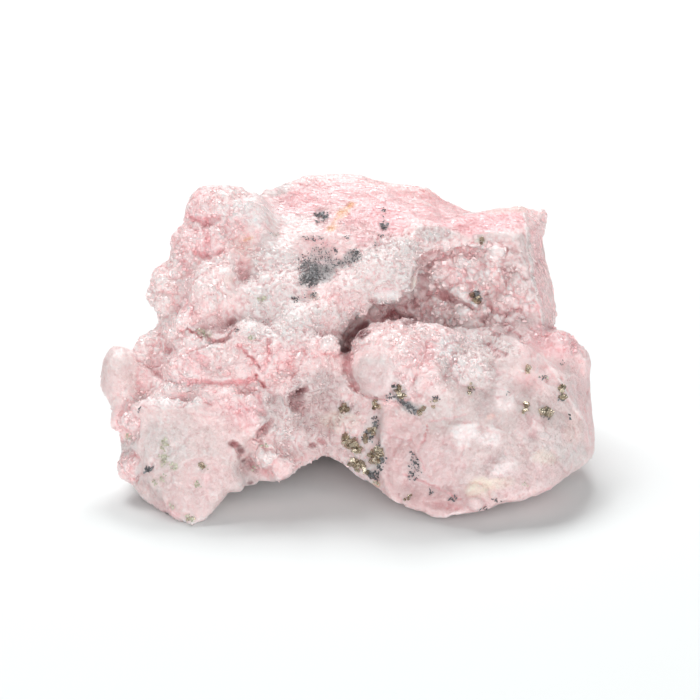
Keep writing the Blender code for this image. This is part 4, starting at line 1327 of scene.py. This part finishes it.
@dataclass
class Swarm:
    """Many crystals of one form: where each stands, how it is turned, its size and colour."""

    name: str
    form: Form
    finish: StoneFinish
    centres: np.ndarray
    axes: np.ndarray
    sizes: np.ndarray
    tints: np.ndarray
    rolls: np.ndarray
    stretch: np.ndarray
    along: np.ndarray | None = None
    root_shade: Rgb = (0.97, 0.90, 0.90)  # painted shade: what a crystal's foot multiplies its colour by

    def frames(self) -> np.ndarray:
        """Three unit axes for each crystal, as the columns of a matrix: the third is its own
        axis, and the first is the roll, or runs as nearly as it can along the given way.

        Returns:
            One matrix per crystal.
        """
        guide = np.where(np.abs(self.axes[:, 2:]) < 0.9, (0.0, 0.0, 1.0), (1.0, 0.0, 0.0))
        side = unit(np.cross(self.axes, guide if self.along is None else self.along))
        ahead = np.cross(side, self.axes)
        if self.along is None:
            turn = self.rolls[:, None]
            ahead = ahead * np.cos(turn) + side * np.sin(turn)
        return np.stack([ahead, np.cross(self.axes, ahead), self.axes], axis=2)

    def build(self) -> None:
        """Copies the template to every place: centre + size * frame * (stretch * point)."""
        points, faces = template(self.form)
        local = points[None] * self.stretch[:, None, :] * self.sizes[:, None, None]
        placed = np.einsum("nij,nkj->nki", self.frames(), local) + self.centres[:, None]
        placed[..., 2] = np.maximum(placed[..., 2], FLOOR_GAP)
        # painted shade, darkest at each crystal's foot
        height = (points[:, 2] - points[:, 2].min()) / np.ptp(points[:, 2])
        shade = 1 - (1 - height[:, None]) * (1 - np.array(self.root_shade))
        step = np.arange(len(self.centres))[:, None, None] * len(points)
        made = make_object(self.name, placed.reshape(-1, 3), (faces[None] + step).reshape(-1, 3))
        self.finish.dress(made, (self.tints[:, None] * shade[None]).reshape(-1, 3))


@dataclass(frozen=True)
class Crust:
    """A growth of crystals over the stretches that have one habit."""

    name: str
    form: Form
    finish: StoneFinish
    habit: Habit
    per_mm2: float
    smallest: float  # mm
    largest: float  # mm
    sunk: float  # share of a crystal that is below the skin
    tilt: float  # how far its axis may lean from the normal
    stretch: Xyz  # factors of its length, breadth and height
    frost: float  # how much paler than the rock it may be
    seed: int
    fibrous: bool = False
    foot: float = 0.8  # no crystal grows lower than this over the floor, mm
    behind: float = 0.45  # how thickly they grow out of the eye's sight, as a share
    edge: float = 1.5  # how soon they thin out where the habit's share falls
    small: float = 2.2  # how much commoner the small ones are
    splay: float = 0.12  # how far fibrous ones stray from the fibres

    def grow(self, rock: RockMass) -> Swarm:
        """Scatters the crystals over the rock, fewer where it is turned away from the eye.

        Args:
            rock: what they grow on.

        Returns:
            The swarm.
        """
        rng = np.random.default_rng(self.seed)
        triangles = rock.skin.faces
        corners = rock.points[triangles]
        across = np.cross(corners[:, 1] - corners[:, 0], corners[:, 2] - corners[:, 0])
        weight = np.linalg.norm(across, axis=1) / 2
        weight *= rock.habits[self.habit][triangles].mean(axis=1) ** self.edge
        weight *= corners[:, :, 2].min(axis=1) > self.foot
        weight *= self.behind + (1 - self.behind) * rock.facing[triangles].mean(axis=1)
        count = int(weight.sum() * self.per_mm2)
        picks = rng.choice(len(weight), count, p=weight / weight.sum())
        shares = rng.dirichlet((1, 1, 1), count)[:, :, None]
        centres = (corners[picks] * shares).sum(axis=1)
        normals = unit((rock.normals[triangles[picks]] * shares).sum(axis=1))
        tints = (rock.tints[triangles[picks]] * shares).sum(axis=1)
        lean = self.tilt * unit(rng.normal(size=(count, 3))) * rng.random((count, 1)) ** 0.5
        axes = unit(normals + lean)
        sizes = self.smallest + (self.largest - self.smallest) * rng.random(count) ** self.small
        stretch = np.array(self.stretch) * rng.uniform(0.8, 1.2, (count, 3))
        centres += axes * (sizes * stretch[:, 2] / 2 * (1 - 2 * self.sunk))[:, None]
        frost = self.frost * rng.random((count, 1)) ** 2
        tints = tints * rng.uniform(0.98, 1.08, (count, 1))
        tints += (np.array(MILK.value) * 1.12 - tints) * frost
        along = None
        if self.fibrous:
            way = rock.fibre_frame()[:, 0] + self.splay * rng.normal(size=(count, 3))
            along = unit(way - (way * axes).sum(axis=1, keepdims=True) * axes)
        rolls = rng.uniform(0, 2 * np.pi, count)
        return Swarm(self.name, self.form, self.finish, centres, axes, sizes, tints, rolls, stretch, along)


CRUSTS = (
    Crust("crust_crystals", Form.RHOMB, CRUST_FINISH, CRUST, 2.0, 0.26, 0.6, 0.55, 0.9, (1, 1, 0.9), 0.1, 1),
    Crust("druse_crystals", Form.RHOMB, CRUST_FINISH, DRUSE, 1.0, 0.34, 0.9, 0.58, 0.9, (1, 1, 1.1), 0.06, 2),
    Crust("sugar_quartz", Form.POINT, QUARTZ_FINISH, SUGAR, 2.3, 0.3, 0.75, 0.55, 0.9, (1, 1, 1), 0.14, 3),
    Crust(
        "crest_splinters", Form.SPLINTER, CRUST_FINISH, FIBRE, 1.2, 0.16, 0.3, 0.5, 0.2, (5, 0.8, 0.7), 0.1,
        5, fibrous=True,
    ),
)


# ---------------------------------------------------------------- ore grains


@dataclass(frozen=True)
class OreKind:
    """One ore: the form, finish, colour and places of its grains."""

    name: str
    form: Form
    finish: StoneFinish
    dark: Rgb
    light: Rgb
    clutches: tuple[Grains, ...]
    loose: int  # grains strewn over the sides and the back
    loose_size: float  # mm
    flat: float  # how thick a grain is, as a share of its width
    long: float  # how many times longer than wide the longest grains are
    seed: int
    reach: float = 2.4  # how far off its place on the grid a grain may be, in grid steps
    nearer: float = 0.35  # mm nearer the eye that make up for each grid step off its place
    tilt: float = 0.7  # how far a grain's axis may lean from the normal
    lift: float = 0.10  # how far its middle stands out, as a share of its size
    jitter: float = 0.12  # mm
    group: int = 9  # loose grains to a group
    spread: float = 1.1  # of a group, mm
    foot: float = 2.5  # no group lies lower than this, mm
    turned_away: float = -0.45  # cosine to the eye past which the groups lie

    def strew(self, rock: RockMass, sight: Sight) -> Swarm:
        """Sets each grain on the nearest part of the rock behind its place on the grid, and the
        loose ones in small groups where the rock is turned away from the eye.

        Args:
            rock: what they sit in.
            sight: the rock's points on the view grid.

        Returns:
            The swarm.
        """
        rng = np.random.default_rng(self.seed)
        picks, sizes = [], []
        for clutch in self.clutches:
            angle = rng.uniform(0, 2 * np.pi, clutch.count)
            out = 1.2 * rng.random(clutch.count) ** 0.7
            along, across = clutch.wide * out * np.cos(angle), clutch.tall * out * np.sin(angle)
            turn = radians(clutch.turn)
            columns = clutch.column + along * cos(turn) - across * sin(turn)
            rows = clutch.row + along * sin(turn) + across * cos(turn)
            picks += [self.seen_point(sight, *place) for place in zip(columns, rows)]
            sizes.append(rng.uniform(clutch.smallest, clutch.largest, clutch.count))
        spots = np.flatnonzero((rock.turned < self.turned_away) & (rock.points[:, 2] > self.foot))
        groups = rng.choice(spots, self.loose // self.group)
        places = rock.points[rng.choice(groups, self.loose)]
        places += rng.normal(scale=self.spread, size=(self.loose, 3))
        picks += [np.argmin(((rock.points - place) ** 2).sum(axis=1)) for place in places]
        sizes = np.concatenate([*sizes, self.loose_size * rng.uniform(0.6, 1.5, self.loose)])
        count = len(picks)
        normals = rock.normals[picks]
        axes = unit(normals + self.tilt * unit(rng.normal(size=(count, 3))))
        share = rng.random((count, 1))
        tints = self.dark + np.subtract(self.light, self.dark) * share
        jitter = self.jitter * rng.normal(size=(count, 3))
        centres = rock.points[picks] + jitter + normals * (self.lift * sizes)[:, None]
        length = rng.uniform(1.0, self.long, count)
        width = rng.uniform(0.6, 1.0, count) / length**0.5
        stretch = np.stack([length, width, np.full(count, self.flat)], axis=1)
        rolls = rng.uniform(0, 2 * np.pi, count)
        made = Swarm(self.name, self.form, self.finish, centres, axes, sizes, tints, rolls, stretch)
        # no painted shade at the grains' feet
        made.root_shade = (1, 1, 1)
        return made

    def seen_point(self, sight: Sight, column: float, row: float) -> int:
        """Index of the point that the eye sees at a place on the grid: the nearest to the eye of
        those within reach.

        Args:
            sight: the rock's points on the grid.
            column: of the place.
            row: of the place.

        Returns:
            The index.
        """
        off = np.hypot(sight.columns - column, sight.rows - row)
        within = sight.nearness - self.nearer * off
        return int(np.argmax(np.where(off < self.reach, within, -NEVER - off)))


ORES = (
    OreKind(
        "pyrite_grains", Form.CUBE, PYRITE_FINISH, (0.30, 0.24, 0.17), (0.78, 0.70, 0.56), PYRITE,
        60, 0.45, 0.9, 1.2, 51,
    ),
    OreKind(
        "sulphide_flecks", Form.CHIP, SULPHIDE_FINISH, (0.055, 0.056, 0.060), (0.22, 0.22, 0.23), SULPHIDE,
        110, 0.4, 0.5, 1.8, 52,
    ),
    OreKind(
        "olive_grains", Form.CHIP, CRUST_FINISH, (0.40, 0.39, 0.28), (0.66, 0.64, 0.52), OLIVES,
        120, 0.4, 0.4, 1.3, 53,
    ),
)


# ---------------------------------------------------------------- the stage


@dataclass(frozen=True)
class Lamp:
    """A square soft lamp that looks at the rock."""

    name: str
    place: Xyz  # metres
    size: float  # metres
    share: float  # of the light on a white card that faces it at the rock

    def build(self) -> None:
        """Adds the lamp: share times pi squared times the distance squared is its power in watts."""
        place, target = Vector(self.place), Vector(LAMP_TARGET)
        lamp = bpy.data.lights.new(self.name, "AREA")
        lamp.shape, lamp.size = "SQUARE", self.size
        lamp.energy = self.share * pi**2 * (place - target).length_squared
        aim_object(bpy.data.objects.new(self.name, lamp), place, target)


LAMPS = (
    Lamp("back_softbox", (0.0, 0.535, 0.61), 0.25, 0.60),
    Lamp("side_softbox", (-0.25, 0.36, 0.68), 0.30, 0.46),
    Lamp("front_card", (0.0, -0.76, 0.27), 0.55, 0.45),
    Lamp("right_card", (0.50, -0.60, 0.18), 0.50, 0.36),
    Lamp("left_card", (-0.50, -0.60, 0.18), 0.50, 0.25),
)


@dataclass(frozen=True)
class Stage:
    """The pale floor, the soft light and the camera."""

    floor_size: float = 3.0  # metres
    floor_tone: Rgb = (0.83, 0.855, 0.855)
    sky_strength: float = 0.20
    nearest: float = 0.05  # what the camera sees, metres
    furthest: float = 10.0  # metres

    def build(self) -> None:
        """Sets the floor, the lights and the camera."""
        self.lay_floor()
        self.light()
        self.aim_camera()
        bpy.context.scene.view_settings.view_transform = "Standard"

    def lay_floor(self) -> None:
        """A plain pale plane."""
        half = self.floor_size / 2 / MM
        corners = half * np.array([[-1.0, -1, 0], [1, -1, 0], [1, 1, 0], [-1, 1, 0]])
        floor = make_object("floor", corners, np.array([[0, 1, 2, 3]]))
        nodes = Nodes("floor_paper")
        tone = {"Base Color": (*self.floor_tone, 1), "Roughness": 1.0, "Specular IOR Level": 0.0}
        nodes.fill(nodes.shader, tone)
        floor.data.materials.append(nodes.material)

    def light(self) -> None:
        """A white sky and the lamps."""
        world = bpy.data.worlds.new("studio")
        world.use_nodes = True
        sky = world.node_tree.nodes["Background"]
        sky.inputs["Color"].default_value = (1, 1, 1, 1)
        sky.inputs["Strength"].default_value = self.sky_strength
        bpy.context.scene.world = world
        for lamp in LAMPS:
            lamp.build()

    def aim_camera(self) -> None:
        """A long lens that looks straight at the leaning face."""
        camera = bpy.data.cameras.new("camera")
        camera.lens, camera.sensor_width = LENS, SENSOR
        camera.clip_start, camera.clip_end = self.nearest, self.furthest
        middle = Vector(FACE_MIDDLE * MM)
        held = bpy.data.objects.new("camera", camera)
        aim_object(held, middle + Vector(TO_EYE) * EYE_DISTANCE * MM, middle)
        bpy.context.scene.camera = held


def aim_object(held: bpy.types.Object, place: Vector, target: Vector) -> None:
    """Links a lamp or camera and turns it towards a target.

    Args:
        held: the lamp's or camera's object.
        place: where it stands.
        target: what it looks at.
    """
    bpy.context.scene.collection.objects.link(held)
    turn = (target - place).to_track_quat("-Z", "Y").to_matrix().to_4x4()
    held.matrix_world = Matrix.Translation(place) @ turn


def main() -> None:
    """Loads the frame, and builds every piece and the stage."""
    logging.basicConfig(level=logging.INFO, format="%(name)s %(message)s")
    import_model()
    rock = RockMass()
    rock.build()
    for crust in CRUSTS:
        crust.grow(rock).build()
    sight = Sight.of(rock.points)
    for ore in ORES:
        ore.strew(rock, sight).build()
    Stage().build()


if __name__ == "__main__":
    main()
